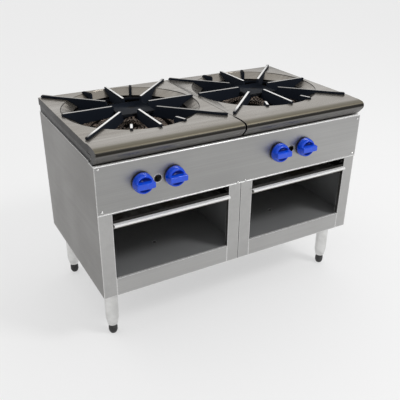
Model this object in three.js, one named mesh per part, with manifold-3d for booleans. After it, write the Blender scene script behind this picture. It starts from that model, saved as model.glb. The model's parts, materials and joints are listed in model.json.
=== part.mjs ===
// A two-section gas stock pot range on a storage base.
// Millimetres, +Z up, +X to the right, front towards -Y.
// While modelling, X = 0 is the seam between the two sections, Y = 0 the front
// face of the cabinets and Z = 0 the floor.
import * as THREE from 'three';
import { mergeVertices } from 'three/addons/utils/BufferGeometryUtils.js';
import Module from 'manifold-3d';

const wasm = await Module();
wasm.setup();

// ---------------------------------------------------------------- dimensions
// Shared
const sheet = 2;              // cabinet sheet metal
const seat = 0.3;             // gap between pieces that touch
const turnFit = 0.6;          // gap round a piece that turns in another
const roundSteps = 32;        // facets round a large circle
const ringSteps = 20;         // facets round a burner ring or a knob
const smallSteps = 12;        // facets round a pipe or a leg
const fineSteps = 10;         // facets round a pin or a bore

// Plan of a section, laid out round its well
const wellRadius = 211;
const wellSide = 17.5;        // well to the section's side
const wellFront = 76;         // cabinet's front to the well
const wellBack = 10;          // well to the cabinet's back
const wellY = wellFront + wellRadius;
const sectionWidth = 2 * (wellRadius + wellSide);     // 457 mm, 18 in
const cabinetDepth = wellY + wellRadius + wellBack;   // 508 mm, 20 in

// Cabinet
const seam = 1;               // gap between the two cabinets
const legBottom = 34;         // the feet show below it
const legLength = 146;
const cabinetBottom = legBottom + legLength;
const cabinetTop = 600;
const stileWidth = 41;        // front flange of each cabinet side
const stileReturn = 14;
const rearFlange = 30;
const topFlange = 25;
const footFlange = 70;        // bottom flange, carries the legs

// Floor pan and front rail
const railHeight = 58;
const railTop = cabinetBottom + railHeight;
const railHem = 8;
const railReturn = 22;
const floorDrop = 7;          // rail's top down to the floor pan
const floorTop = railTop - floorDrop;
const floorUpstand = 20;
const floorHoleRadius = 6.5;
const floorHoleY = 145;

// Control panel
const panelDrop = 3;          // below the cabinets' top
const panelHeight = 147;
const panelTop = cabinetTop - panelDrop;
const panelBottom = panelTop - panelHeight;
const panelReturn = 40;
const panelBend = 3;
const panelHem = 5;           // height of the rolled bottom edge
const panelHemProud = 1;
const knobRise = 78;          // valve stems above the panel's lower edge
const knobHeight = panelBottom + knobRise;
const knobPitch = 98;         // outer ring's knob to inner ring's knob
const stemHoleRadius = 6;
const pilotHoleRadius = 12;

// Knob
const knobRadius = 30;
const knobGap = 4;            // skirt to panel face
const knobSkirt = 6;          // straight part of the skirt
const knobDome = 15;          // skirt to crown of the dome
const knobReach = 36;         // panel face to front of the grip
const gripLength = 51;
const gripWidth = 20;
const gripTaper = 2.5;        // draft of the grip over its height
const gripCorner = 6;
const gripBevel = 2;
const gripCover = 12;         // grip in front of the stem's end
const knobWall = 3;
const knobCore = 9;           // radius of the core round the stem
const knobEdge = 1;

// Valve and stem
const stemRadius = 3.8;
const stemClearance = 0.3;
const bonnetFront = 14;
const bonnetRadius = 10;
const valveFront = 19;
const valveBack = 48;
const valveRadius = 13;
const hoodRadius = 8;
const hoodBack = 87;
const hoodTaper = 3;
const inletRadius = 8;
const stemFlat = 1.6;

// Gas line
const pipeRadius = 13.4;      // 3/4 in pipe
const manifoldY = 36;
const manifoldDrop = 42;      // valve stems down to the pipe
const manifoldHeight = knobHeight - manifoldDrop;
const manifoldEnd = 28;       // closed end past the last valve
const capWall = 3;
const capLength = 18;
const fittingWall = 4;        // elbow and collars over the pipe
const inletOffset = 178;      // inlet pipe from the right section's centre
const regulatorY = 182;
const regulatorLength = 68;
const regulatorRadius = 29;
const regulatorBody = 20;
const regulatorHeights = [10, 20, 27, 53];    // bowl, rim, neck and cap above the pipe's centre
const capRadius = 13;
const collarLength = 14;
const inletReach = 14;        // inlet pipe behind the cabinet
const inletBore = 10.4;
const inletBoreDepth = 40;
const pilotTubeRadius = 3;
const pilotBody = 7;          // half the pilot valve's width
const pilotFront = 16;        // reach in front of the manifold's centre
const pilotBack = 14;
const pilotInlet = 5;
const pilotScrew = 3.5;
const pilotScrewReach = 3;

// Top casting
const castHeight = 45;
const topSurface = cabinetTop + castHeight;
const castWall = 8;
const plateThickness = 13;
const noseReach = 15.5;       // nose in front of the cabinet
const noseRadius = 14;
const noseTuck = 6;           // foot of the nose behind the cabinet front
const noseFall = 2;           // fall of the plate into the nose
const noseHeel = 4;
const noseArc = [230, 98];    // its rounding, from underneath to the top, in degrees
const backRound = 3;          // rounding of the plate's rear edge
const bandHeight = 21;        // recessed band under the plate's edge
const bandInset = 3;
const noseInset = 2.5;        // relief of the nose at each end
const noseInsetDepth = 62;
const noseInsetRun = 20;      // run-out of the relief
const wellDraft = 2.5;        // the well's wall draws in towards the ledge
const wellFoot = wellRadius - wellDraft;
const wellEdge = 3;           // height of the chamfer round the well
const wellChamfer = 2;
const ledgeDepth = 36;        // plate down to the ledge
const ledgeHeight = topSurface - ledgeDepth;
const ledgeWidth = 25;
const ledgeRadius = wellRadius - ledgeWidth;
const ledgeThickness = 6;
const ledgeReach = 4;         // bare casting inside the ledge before it is bored

// Spider grate
const tipReach = 7;           // tips past the well's rim
const grateHalf = wellRadius + tipReach;
const grateRise = 8;          // above the plate
const grateTop = topSurface + grateRise;
const armThickness = 9;
const armTip = 6;             // rounding of the tips
const armDepth = 30;          // at the centre
const hubHalf = 57;
const hubDrop = 13;           // tops of the arms down to the hub
const hubTop = grateTop - hubDrop;
const hubDepth = 10;
const ringHeight = 9;
const ringWidth = 20;
const ringClearance = 1.2;
const fingerReach = 11;       // fingers past the well's rim
const fingerLength = 44;
const fingerOuter = wellRadius + fingerReach;
const fingerInner = fingerOuter - fingerLength;
const fingerDrop = 2;         // tops of the arms down to the fingers
const fingerTop = grateTop - fingerDrop;
const fingerRound = 8;
const fingerCurl = 30;        // where the outer rounding begins, in degrees
const fingerRoot = 12;
const wallGap = 2.5;          // arms and fingers to the well's rim
const armEase = 2;            // small chamfers where the arms seat
const armShoulder = 4;        // chamfer at the inner end of an arm's top
const armSink = 6;            // arms under the hub's top

// Burners
const burnerDrop = 23;        // well's ledge down to the ports
const burnerHeight = 30;      // of a ring
const burnerTop = ledgeHeight - burnerDrop;
const burnerBase = burnerTop - burnerHeight;
const ringHalf = 17;          // half the width of a ring
const ringSlope = 8;
const innerRing = 44;         // radii to the middle of each ring
const middleRing = 96;
const outerRing = 148;
const portSize = 4;
const portDepth = 4;
const portRow = 4.2;          // each row to the middle of the ring
const portSpacing = 46;       // along the ring
const bridgeWidth = 22;
const bridgeHeight = 14;
const throatRadius = 12.5;
const tubeRadius = 16;
const mouthRadius = 22;
const tubeWall = 3;
const mouthY = 82;
const mouthLength = 10;
const flareLength = 38;       // mouth to throat
const throatLength = 22;
const lugHeight = 8;
const lugWidth = 20;
const neckEntry = 4;          // neck inside the ring
const neckRadius = 14;        // neck where it meets the ring
const pilotRise = 6;          // pilot's tip above the ports
const pilotTipHeight = burnerTop + pilotRise;

// Burner supports
const saddleGap = 6;          // behind the tubes' flare
const saddleThickness = 3;
const saddleDrop = 58;        // mixing tubes down to the saddle's lower edge
const saddleBottom = knobHeight - saddleDrop;
const saddleEase = 4;         // under the burner rings
const restSetback = 121;      // behind the well's centre
const restY = wellY + restSetback;
const restWidth = 30;
const restDrop = 25;

// Air shutters
const shutterThickness = 2;
const shutterSkirt = 8;
const shutterHole = 9.5;
const shutterRim = 3;         // metal round the windows
const shutterWindow = 50;     // half the angle of a window, in degrees

// Drip trays and their runners
const trayDrop = 48;          // panel's lower edge down to the trays
const trayBottom = panelBottom - trayDrop;
const trayWall = 25;
const traySheet = 1.6;
const traySide = 1.5;         // clearance to each stile
const trayFront = 2;
const trayShort = 56;         // tray's end to the back of the cabinet
const trayBack = cabinetDepth - trayShort;
const lipRise = 17;
const lipHeight = trayBottom + lipRise;
const lipReach = 14;
const lipDrop = 6;
const lipBend = 3;
const runnerShelf = 58;
const runnerHeight = 26;
const runnerShort = 38;       // runner's end to the back of the cabinet
const runnerBack = cabinetDepth - runnerShort;

// Legs and feet
const legInset = 40;          // leg centre from the cabinet's side
const legFront = 62;          // leg centre from the cabinet's front, and from its back
const legBack = cabinetDepth - legFront;
const legRadius = 20.5;
const legPlate = 31;
const legPlateThickness = 3;
const legWeld = 3;
const legTaper = 26;
const legEnd = 15.5;
const footRadius = 14;
const footFace = 9;
const footCollar = 22;
const footStem = 7;
const footReach = 30;         // stem inside the leg
const footSpare = 2;          // bore past the stem's end
const footChamfer = 2;
const footNose = [5, 11];     // heights of the two bends of the bullet

// ------------------------------------------------------------------- finishes
const finish = (color, roughness, metalness) => new THREE.MeshStandardMaterial({
  color, roughness, metalness, flatShading: true,
});
const brushed = finish(0x9d9b98, 0.38, 0.9);
const bright = finish(0xd8d8d6, 0.2, 1);
const galvanised = finish(0x84878a, 0.5, 0.8);
const groundIron = finish(0x8f8a83, 0.42, 0.8);
const blackIron = finish(0x23252a, 0.55, 0.4);
const burnerIron = finish(0x2b2420, 0.75, 0.3);
const steelPipe = finish(0x3a3a3c, 0.6, 0.6);
const brass = finish(0xb08d4a, 0.35, 0.9);
const blueKnob = finish(0x0b3fd0, 0.15, 0);
const footPlastic = finish(0x2a2a2b, 0.6, 0.2);

// -------------------------------------------------------------------- solids
// A closed three.js geometry as a solid; a mesh that faces inwards is turned.
function solid(geometry) {
  const bare = geometry.clone();
  bare.deleteAttribute('normal');
  bare.deleteAttribute('uv');
  const merged = mergeVertices(bare, 1e-4);
  const vertProperties = new Float32Array(merged.attributes.position.array);
  const triVerts = new Uint32Array(merged.index.array);
  const build = () => new wasm.Manifold(new wasm.Mesh({ numProp: 3, vertProperties, triVerts }));
  const first = build();
  if (first.volume() > 0) return first;
  for (let i = 0; i < triVerts.length; i += 3) {
    [triVerts[i + 1], triVerts[i + 2]] = [triVerts[i + 2], triVerts[i + 1]];
  }
  return build();
}

const join = (first, ...rest) => rest.reduce((whole, piece) => whole.add(piece), first);
const cut = (first, ...rest) => rest.reduce((whole, piece) => whole.subtract(piece), first);

// A solid as a named mesh.
function part(name, material, body) {
  const { vertProperties, triVerts } = body.getMesh();
  const geometry = new THREE.BufferGeometry();
  geometry.setAttribute('position', new THREE.BufferAttribute(vertProperties, 3));
  geometry.setIndex(new THREE.BufferAttribute(triVerts, 1));
  const mesh = new THREE.Mesh(geometry, material);
  mesh.name = name;
  return mesh;
}

const degrees = THREE.MathUtils.degToRad;

// Points on an arc, from one angle to another in degrees.
function arc(cx, cy, radius, from, to, steps = 6) {
  return Array.from({ length: steps + 1 }, (_, i) => {
    const angle = degrees(from + ((to - from) * i) / steps);
    return [cx + radius * Math.cos(angle), cy + radius * Math.sin(angle)];
  });
}

const shapeOf = (outline) => new THREE.Shape(outline.map(([a, b]) => new THREE.Vector2(a, b)));
const holeOf = (outline) => new THREE.Path(outline.map(([a, b]) => new THREE.Vector2(a, b)));

// Extrusions of an outline with optional holes, along each axis.
function extruded(outline, holes, depth, basis, origin) {
  const shape = shapeOf(outline);
  holes.forEach((hole) => shape.holes.push(holeOf(hole)));
  const geometry = new THREE.ExtrudeGeometry(shape, { depth, bevelEnabled: false });
  geometry.applyMatrix4(new THREE.Matrix4().makeBasis(...basis).setPosition(...origin));
  return solid(geometry);
}
const axisX = new THREE.Vector3(1, 0, 0);
const axisY = new THREE.Vector3(0, 1, 0);
const axisZ = new THREE.Vector3(0, 0, 1);
// outline of [y, z] points
const alongX = (outline, x0, x1, holes = []) =>
  extruded(outline, holes, x1 - x0, [axisY, axisZ, axisX], [x0, 0, 0]);
// outline of [x, z] points
const alongY = (outline, y0, y1, holes = []) =>
  extruded(outline, holes, y1 - y0, [axisX, axisZ, axisY.clone().negate()], [0, y1, 0]);
// outline of [x, y] points
const alongZ = (outline, z0, z1, holes = []) =>
  extruded(outline, holes, z1 - z0, [axisX, axisY, axisZ], [0, 0, z0]);

const rectangle = (a0, a1, b0, b1) => [[a0, b0], [a1, b0], [a1, b1], [a0, b1]];
const circle = (a, b, radius, steps = smallSteps) => arc(a, b, radius, 0, 360, steps).slice(0, -1);

function box(x0, x1, y0, y1, z0, z1) {
  const geometry = new THREE.BoxGeometry(Math.abs(x1 - x0), y1 - y0, z1 - z0);
  geometry.translate((x0 + x1) / 2, (y0 + y1) / 2, (z0 + z1) / 2);
  return solid(geometry);
}

// A revolved solid: profile of [radius, height] points round the Z axis, or
// round the Y axis where height is then measured along +Y.
function turned(profile, steps = smallSteps) {
  const points = profile.map(([r, h]) => new THREE.Vector2(r, h));
  return new THREE.LatheGeometry(points, steps);
}
const turnedZ = (profile, steps) => solid(turned(profile, steps).rotateX(Math.PI / 2));
const turnedY = (profile, steps) => solid(turned(profile, steps));

// Outline of a folded sheet: a line of points, and the same line moved to its
// left by the sheet's thickness.
function folded(line, thickness) {
  const points = line.map(([a, b]) => new THREE.Vector2(a, b));
  const left = (from, to) => {
    const along = to.clone().sub(from).normalize();
    return new THREE.Vector2(-along.y, along.x);
  };
  const inner = points.map((point, i) => {
    const before = i > 0 ? left(points[i - 1], point) : null;
    const after = i < points.length - 1 ? left(point, points[i + 1]) : null;
    if (!before || !after) return point.clone().addScaledVector(before ?? after, thickness);
    const both = before.clone().add(after);
    return point.clone().addScaledVector(both, thickness / (1 + before.dot(after)));
  });
  return [...points, ...inner.reverse()].map((point) => [point.x, point.y]);
}

// ------------------------------------------------------------ shared measures
const halfInside = sectionWidth / 2 - seam / 2;         // section centre to side's outer face
const wallInside = halfInside - sheet - seat;           // reach of pieces between the walls
const openingHalf = halfInside - stileWidth;            // section centre to stile edge
const panelFace = -(sheet + seat);                      // front of the control panel
const manifoldTop = manifoldHeight + pipeRadius;
const saddleY = mouthY + flareLength + saddleGap;
const castFoot = cabinetTop + seat;                     // underside of the top casting
const backPanelFront = cabinetDepth - 2 * sheet - seat;
const rightCentre = sectionWidth / 2;

// -------------------------------------------------------------------- cabinet
// Cabinet side: wall, front stile with its return, rear flange, and flanges
// for the top casting and the legs. inward is +1 where the section lies to +X.
function sidePanel(outerX, inward, pipeHoles) {
  const x = (reach) => outerX + inward * reach;
  const plan = [
    [x(0), 0], [x(stileWidth), 0], [x(stileWidth), stileReturn], [x(stileWidth - sheet), stileReturn],
    [x(stileWidth - sheet), sheet], [x(sheet), sheet], [x(sheet), cabinetDepth - sheet],
    [x(rearFlange), cabinetDepth - sheet], [x(rearFlange), cabinetDepth], [x(0), cabinetDepth],
  ];
  const notchBack = panelReturn + seat;
  const notchFloor = panelTop - sheet - seat;
  const holes = pipeHoles.map(([y, z, radius]) => {
    const [low, high] = [x(-sheet), x(2 * sheet)].sort((a, b) => a - b);
    return alongX(circle(y, z, radius), low, high);
  });
  const stileHigh = alongZ(plan, cabinetBottom, cabinetTop);
  const top = box(x(0), x(topFlange), sheet, cabinetDepth, cabinetTop - sheet, cabinetTop);
  const bottom = box(x(0), x(footFlange), sheet + seat, cabinetDepth, cabinetBottom, cabinetBottom + sheet);
  const notch = box(x(-sheet), x(stileWidth + sheet), -sheet, notchBack, notchFloor, cabinetTop + sheet);
  return cut(join(stileHigh, top, bottom), notch, ...holes);
}

// Floor pan with the front rail folded from the same sheet.
function floorPan() {
  const railHalf = openingHalf - seat;
  const returnHeight = cabinetBottom + sheet + seat;
  const rail = folded([
    [railReturn, returnHeight], [0, returnHeight], [0, railTop], [railHem, railTop],
    [railHem, floorTop], [stileReturn + 2 * sheet, floorTop],
  ], -sheet);
  const foldLow = box(-railHalf, railHalf, 0, sheet, cabinetBottom, returnHeight + sheet);
  const pan = folded([
    [stileReturn + sheet, floorTop], [backPanelFront - seat - sheet, floorTop],
    [backPanelFront - seat - sheet, floorTop + floorUpstand],
  ], -sheet);
  const hole = alongZ(circle(0, floorHoleY, floorHoleRadius), floorTop - 2 * sheet, floorTop + sheet);
  return cut(join(alongX(rail, -railHalf, railHalf), foldLow, alongX(pan, -wallInside, wallInside)), hole);
}

// Control panel across both sections, with a rolled lower edge and a top return.
function controlPanel(stems, pilots) {
  const back = -seat;
  const hem = panelHem / 2;
  const outline = [
    [back, panelBottom],
    ...arc(panelFace - panelHemProud + hem, panelBottom + hem, hem, 270, 90, 5),
    [panelFace, panelBottom + panelHem + panelHemProud],
    ...arc(panelFace + panelBend, panelTop - panelBend, panelBend, 180, 90, 4),
    [panelReturn, panelTop], [panelReturn, panelTop - sheet], [back, panelTop - sheet],
  ];
  const half = sectionWidth;
  const through = (x, radius) =>
    alongY(circle(x, knobHeight, radius), panelFace - sheet, sheet);
  const holes = [
    ...stems.map((x) => through(x, stemHoleRadius)),
    ...pilots.map((x) => through(x, pilotHoleRadius)),
  ];
  return cut(alongX(outline, -half, half), ...holes);
}

function backPanel(holes) {
  const low = cabinetBottom + sheet + seat;
  const high = cabinetTop - sheet - seat;
  const outline = rectangle(-wallInside, wallInside, low, high);
  return alongY(outline, backPanelFront, backPanelFront + sheet, holes);
}

// ----------------------------------------------------------------- drip trays
// Shallow pan with an upright front and a lip to pull it by.
function dripTray() {
  const half = openingHalf - traySide;
  const top = trayBottom + trayWall;
  const pan = box(-half, half, trayFront, trayBack, trayBottom, top);
  const inside = box(-half + traySheet, half - traySheet, trayFront + traySheet, trayBack - traySheet,
    trayBottom + traySheet, top + traySheet);
  const front = trayFront - lipReach;
  const lip = folded([
    [front, lipHeight - lipDrop],
    ...arc(front + lipBend, lipHeight - lipBend, lipBend, 180, 90, 4),
    [trayFront + traySheet / 2, lipHeight],
  ], -traySheet);
  return join(cut(pan, inside), alongX(lip, -half, half));
}

// Angle runner screwed to a cabinet wall, under one edge of the tray.
function trayRunner(side) {
  const x = (reach) => side * (halfInside - reach);
  const wall = sheet + seat;
  const shelf = trayBottom - seat;
  const outline = [
    [x(wall), shelf - sheet], [x(runnerShelf), shelf - sheet], [x(runnerShelf), shelf],
    [x(wall + sheet), shelf], [x(wall + sheet), shelf + runnerHeight], [x(wall), shelf + runnerHeight],
  ];
  return alongY(outline, stileReturn + sheet, runnerBack);
}

// ---------------------------------------------------------------- top casting
// Plate with a rolled nose, skirts under its edges and a stepped round well.
function topCasting() {
  const half = sectionWidth / 2 - seam / 2;
  const noseHeight = topSurface - noseRadius - noseFall;
  const outside = [
    [noseTuck, castFoot],
    [noseTuck - noseHeel, castFoot + noseHeel],
    ...arc(noseRadius - noseReach, noseHeight, noseRadius, ...noseArc, 9),
    [noseRadius, topSurface],
    ...arc(cabinetDepth - backRound, topSurface - backRound, backRound, 90, 0, 2),
    [cabinetDepth, castFoot],
  ];
  const block = alongX(outside, -half, half);
  const pocket = box(-half + castWall + bandInset, half - castWall - bandInset, noseTuck + castWall,
    cabinetDepth - castWall, castFoot - 1, topSurface - plateThickness);
  const [core, wall] = [ledgeRadius - ledgeReach, wellRadius + castWall];
  const [low, high] = [ledgeHeight - ledgeThickness, topSurface - plateThickness / 2];
  const wellWall = turnedZ([
    [core, low], [wall, low], [wall, high], [core, high], [core, low],
  ], roundSteps).translate([0, wellY, 0]);
  const rim = wellRadius + wellChamfer;
  const well = turnedZ([
    [0, castFoot - 1], [ledgeRadius, castFoot - 1], [ledgeRadius, ledgeHeight], [wellFoot, ledgeHeight],
    [wellRadius, topSurface - wellEdge], [rim, topSurface], [rim, topSurface + 1], [0, topSurface + 1],
  ], roundSteps).translate([0, wellY, 0]);
  const bandTop = castFoot + bandHeight;
  const band = (side) => box(side * (half - bandInset), side * (half + 1), noseTuck + 2 * castWall,
    cabinetDepth + 1, castFoot - 1, bandTop);
  const relief = (side) => alongZ([
    [side * (half + 1), -noseReach - 1], [side * (half - noseInset), -noseReach - 1],
    [side * (half - noseInset), noseInsetDepth - noseInsetRun], [side * (half + 1), noseInsetDepth],
  ], castFoot - 1, topSurface + 1);
  return cut(join(cut(block, pocket), wellWall), well, band(-1), band(1), relief(-1), relief(1));
}

// --------------------------------------------------------------- spider grate
// Square hub, eight arms, a ring that seats on the well's ledge and four short
// fingers, one each side of the front arm and of the back arm.
function spiderGrate() {
  const over = topSurface + seat;               // underside of the tips, on the plate
  const ringOuter = wellFoot - ringClearance;
  const ringInner = ringOuter - ringWidth;
  const ringBottom = ledgeHeight + seat;
  const wallClear = wellRadius - wallGap;       // arms pass down inside the well here
  const heel = [
    [ringOuter - armEase / 2, ringBottom], [wallClear - armEase, topSurface - fingerRound], [wallClear, over],
  ];
  const arm = (start, reach) => {
    const outline = [
      [0, grateTop - armDepth], [ringInner - armEase, ringBottom + armEase], [ringInner, ringBottom],
      ...heel, [reach - armEase, over],
      ...arc(reach - armTip, grateTop - armTip, armTip, 0, 90, 2),
      [start + armShoulder, grateTop], [start, grateTop - armShoulder], [start, hubTop - armSink],
      [0, hubTop - armSink],
    ];
    return alongY(outline, -armThickness / 2, armThickness / 2);
  };
  const finger = () => {
    const outline = [
      [fingerInner, ringBottom + ringHeight], [fingerInner + fingerRoot, ringBottom],
      ...heel, [fingerOuter, over],
      ...arc(fingerOuter - fingerRound, fingerTop - fingerRound, fingerRound, fingerCurl, 90, 2),
      ...arc(fingerInner + fingerRound, fingerTop - fingerRound, fingerRound, 90, 180, 2),
    ];
    return alongY(outline, -armThickness / 2, armThickness / 2);
  };
  const around = (piece, angle) => piece.rotate([0, 0, angle]);
  const quarter = [0, 90, 180, 270];
  const eighth = 45;
  const straight = quarter.map((angle) => around(arm(hubHalf, grateHalf), angle));
  const diagonal = quarter.map((angle) =>
    around(arm(hubHalf * Math.SQRT2, grateHalf * Math.SQRT2), angle + eighth));
  const fingers = [90, 270].flatMap((angle) => [angle - eighth / 2, angle + eighth / 2])
    .map((angle) => around(finger(), angle));
  const hub = box(-hubHalf, hubHalf, -hubHalf, hubHalf, hubTop - hubDepth, hubTop);
  const ring = turnedZ([
    [ringInner, ringBottom], [ringOuter, ringBottom], [ringOuter, ringBottom + ringHeight],
    [ringInner, ringBottom + ringHeight], [ringInner, ringBottom],
  ], roundSteps);
  const spider = join(hub, ...straight, ...diagonal, ring, ...fingers);
  return spider.translate([0, wellY, 0]);
}

// -------------------------------------------------------------------- burners
// One burner ring, its shoulders sloped.
function burnerRing(radius, steps = roundSteps) {
  const profile = [
    [radius - ringHalf, burnerBase], [radius + ringHalf, burnerBase],
    [radius + ringHalf, burnerTop - ringSlope], [radius + ringHalf - ringSlope, burnerTop],
    [radius - ringHalf + ringSlope, burnerTop], [radius - ringHalf, burnerTop - ringSlope],
    [radius - ringHalf, burnerBase],
  ];
  return turnedZ(profile, steps);
}

// Port drillings in two rows on the ring's top, staggered.
function burnerPorts(radius) {
  const count = 2 * Math.round((Math.PI * radius) / portSpacing);
  const half = portSize / 2;
  return Array.from({ length: count }, (_, i) => {
    const row = radius + (i % 2 ? portRow : -portRow);
    const port = box(row - half, row + half, -half, half, burnerTop - portDepth, burnerTop + 1);
    return port.rotate([0, 0, (360 * i) / count]);
  });
}

// Mixing tube from its mouth to under the ring, with a neck up to it.
function mixingTube(endY) {
  const neckY = endY - tubeRadius;
  const outside = [
    [0, mouthY + seat], [mouthRadius, mouthY + seat], [mouthRadius, mouthY + mouthLength],
    [tubeRadius, mouthY + flareLength], [tubeRadius, endY], [0, endY],
  ];
  const bore = [
    [0, mouthY - 1], [mouthRadius - tubeWall, mouthY - 1], [mouthRadius - tubeWall, mouthY + mouthLength],
    [throatRadius, mouthY + flareLength], [throatRadius, mouthY + flareLength + throatLength],
    [0, mouthY + flareLength + throatLength],
  ];
  const neck = turnedZ([
    [0, knobHeight], [tubeRadius, knobHeight], [neckRadius, burnerBase + neckEntry], [0, burnerBase + neckEntry],
  ]).translate([0, neckY, 0]);
  const tube = cut(turnedY(outside), turnedY(bore)).translate([0, 0, knobHeight]);
  return join(tube, neck);
}

// Centre ring, its mixing tube straight ahead, and a rear lug.
function innerBurner() {
  const radius = innerRing;
  const ring = cut(burnerRing(radius, ringSteps), ...burnerPorts(radius)).translate([0, wellY, 0]);
  const lug = box(-lugWidth / 2, lugWidth / 2, wellY + radius, restY + restWidth / 2,
    burnerBase - lugHeight, burnerBase - seat);
  const knee = box(-lugWidth / 2, lugWidth / 2, wellY + radius - ringHalf, wellY + radius + ringHalf / 2,
    burnerBase - lugHeight, burnerBase + 1);
  return join(ring, lug, knee, mixingTube(wellY - radius + tubeRadius));
}

// Two outer rings bridged into one casting, with a mixing tube at the left.
function outerBurner() {
  const bridges = [45, 135, 225, 315].map((angle) =>
    box(middleRing, outerRing, -bridgeWidth / 2, bridgeWidth / 2, burnerBase, burnerBase + bridgeHeight)
      .rotate([0, 0, angle]));
  const rings = cut(join(burnerRing(middleRing, ringSteps), burnerRing(outerRing), ...bridges),
    ...burnerPorts(middleRing), ...burnerPorts(outerRing));
  const tubeX = -knobPitch;
  const tubeEnd = wellY - Math.sqrt(outerRing ** 2 - tubeX ** 2) + tubeRadius;
  const feet = [-1, 1].map((side) => {
    const x = side * outerRing * Math.sin(degrees(30));
    return box(x - lugWidth / 2, x + lugWidth / 2, restY - restWidth / 2, restY + restWidth / 2,
      burnerBase - lugHeight, burnerBase + 1);
  });
  const tube = mixingTube(tubeEnd).translate([tubeX, 0, 0]);
  return join(rings.translate([0, wellY, 0]), ...feet, tube);
}

// Cup-shaped shutter over a mixing tube's mouth, with two windows. Its flats,
// not just its corners, clear the mouth.
function airShutter() {
  const inside = (mouthRadius + turnFit) / Math.cos(Math.PI / smallSteps);
  const outside = inside + shutterThickness;
  const front = mouthY - shutterThickness;
  const rear = mouthY + shutterSkirt;
  const cup = turnedY([
    [shutterHole, front], [outside, front], [outside, rear], [inside, rear], [inside, mouthY],
    [shutterHole, mouthY], [shutterHole, front],
  ]);
  const window = (middle) => alongY([
    ...arc(0, 0, mouthRadius - shutterRim, middle - shutterWindow, middle + shutterWindow, 3),
    ...arc(0, 0, shutterHole + shutterRim, middle + shutterWindow, middle - shutterWindow, 2),
  ], front - shutterThickness, mouthY + shutterThickness);
  return cut(cup, window(90), window(270));
}

// Upright plate between the cabinet walls; the mixing tubes lie in its notches.
function burnerSaddle(holes) {
  const top = burnerBase - saddleEase;
  const radius = tubeRadius + seat;
  const notch = (x) => [
    [x + radius + 2, top], ...arc(x, knobHeight, radius, 0, -180, 10), [x - radius - 2, top],
  ];
  const outline = [
    [-wallInside, saddleBottom], [wallInside, saddleBottom], [wallInside, top],
    ...notch(0), ...notch(-knobPitch), [-wallInside, top],
  ];
  return alongY(outline, saddleY, saddleY + saddleThickness, holes);
}

// Angle across the cabinet; the burners' rear lugs lie on it.
function burnerRest() {
  const top = burnerBase - lugHeight - seat;
  const [front, back] = [restY - restWidth / 2, restY + restWidth / 2];
  const outline = folded([[back, top - restDrop], [back, top], [front, top]], 3);
  return alongX(outline, -wallInside, wallInside);
}

// ------------------------------------------------------------------- gas line
// Valve body: bonnet in front, orifice hood behind, inlet down to the manifold.
function valve() {
  const body = turnedY([
    [0, bonnetFront], [bonnetRadius, bonnetFront], [bonnetRadius, valveFront], [valveRadius, valveFront],
    [valveRadius, valveBack], [hoodRadius, valveBack + hoodTaper], [hoodRadius, hoodBack - hoodTaper],
    [hoodRadius - hoodTaper, hoodBack], [0, hoodBack],
  ], fineSteps).translate([0, 0, knobHeight]);
  const inlet = turnedZ([
    [0, manifoldTop + seat], [inletRadius, manifoldTop + seat], [inletRadius, knobHeight], [0, knobHeight],
  ], fineSteps).translate([0, manifoldY, 0]);
  return join(body, inlet);
}

// Stem with a flat, from the valve's bonnet into the knob.
function valveStem() {
  const back = bonnetFront - seat;
  const front = panelFace - knobReach + gripCover;
  const rod = turnedY([[0, front], [stemRadius, front], [stemRadius, back], [0, back]], fineSteps);
  const flat = box(-stemRadius, stemRadius, front - 1, panelFace, stemRadius - stemFlat, stemRadius + 1);
  return cut(rod, flat).translate([0, 0, knobHeight]);
}

// Knob: hollow skirt, dome, and a grip bar across it; the bar is level when off.
function knob() {
  const y = (reach) => panelFace - reach;       // distance out from the panel's face
  const skirtEnd = knobGap + knobSkirt;
  const domeSteps = 3;
  const crown = knobGap + knobDome;
  const dome = Array.from({ length: domeSteps + 1 }, (_, i) => {
    const angle = degrees((90 * i) / domeSteps);
    return [knobRadius * Math.cos(angle), y(skirtEnd + (crown - skirtEnd) * Math.sin(angle))];
  });
  const skirt = turnedY([
    [0, y(knobGap)], [knobRadius - knobEdge, y(knobGap)], [knobRadius, y(knobGap + knobEdge)], ...dome,
  ], ringSteps);
  const rim = knobRadius - knobWall;
  const hollow = turnedY([
    [knobCore, y(0)], [rim, y(0)], [rim, y(skirtEnd)], [knobCore, y(skirtEnd)], [knobCore, y(0)],
  ], ringSteps);
  const grip = new THREE.ExtrudeGeometry(shapeOf(roundedBar(gripLength, gripWidth, gripCorner)), {
    depth: knobReach - skirtEnd - gripBevel,
    bevelThickness: gripBevel,
    bevelSize: gripBevel,
    bevelOffset: -gripBevel,
    bevelSegments: 1,
  });
  taper(grip, knobReach - skirtEnd);
  grip.rotateX(Math.PI / 2).translate(0, y(skirtEnd), 0);
  const boreRadius = stemRadius + stemClearance;
  const boreEnd = y(knobReach - gripCover) - seat;
  const bore = turnedY([[0, boreEnd], [boreRadius, boreEnd], [boreRadius, y(0)], [0, y(0)]], fineSteps);
  return cut(join(cut(skirt, hollow), solid(grip)), bore).translate([0, 0, knobHeight]);
}

// Bar outline with rounded corners, centred on the origin.
function roundedBar(length, width, corner) {
  const [a, b] = [length / 2 - corner, width / 2 - corner];
  return [
    ...arc(a, b, corner, 0, 90, 2), ...arc(-a, b, corner, 90, 180, 2),
    ...arc(-a, -b, corner, 180, 270, 2), ...arc(a, -b, corner, 270, 360, 2),
  ];
}

// Draws an extrusion in by the grip's draft towards its far end.
function taper(geometry, height) {
  const { position } = geometry.attributes;
  for (let i = 0; i < position.count; i += 1) {
    const share = position.getZ(i) / height;
    position.setX(i, position.getX(i) * (1 - (share * 2 * gripTaper) / gripLength));
    position.setY(i, position.getY(i) * (1 - (share * 2 * gripTaper) / gripWidth));
  }
}

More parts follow.
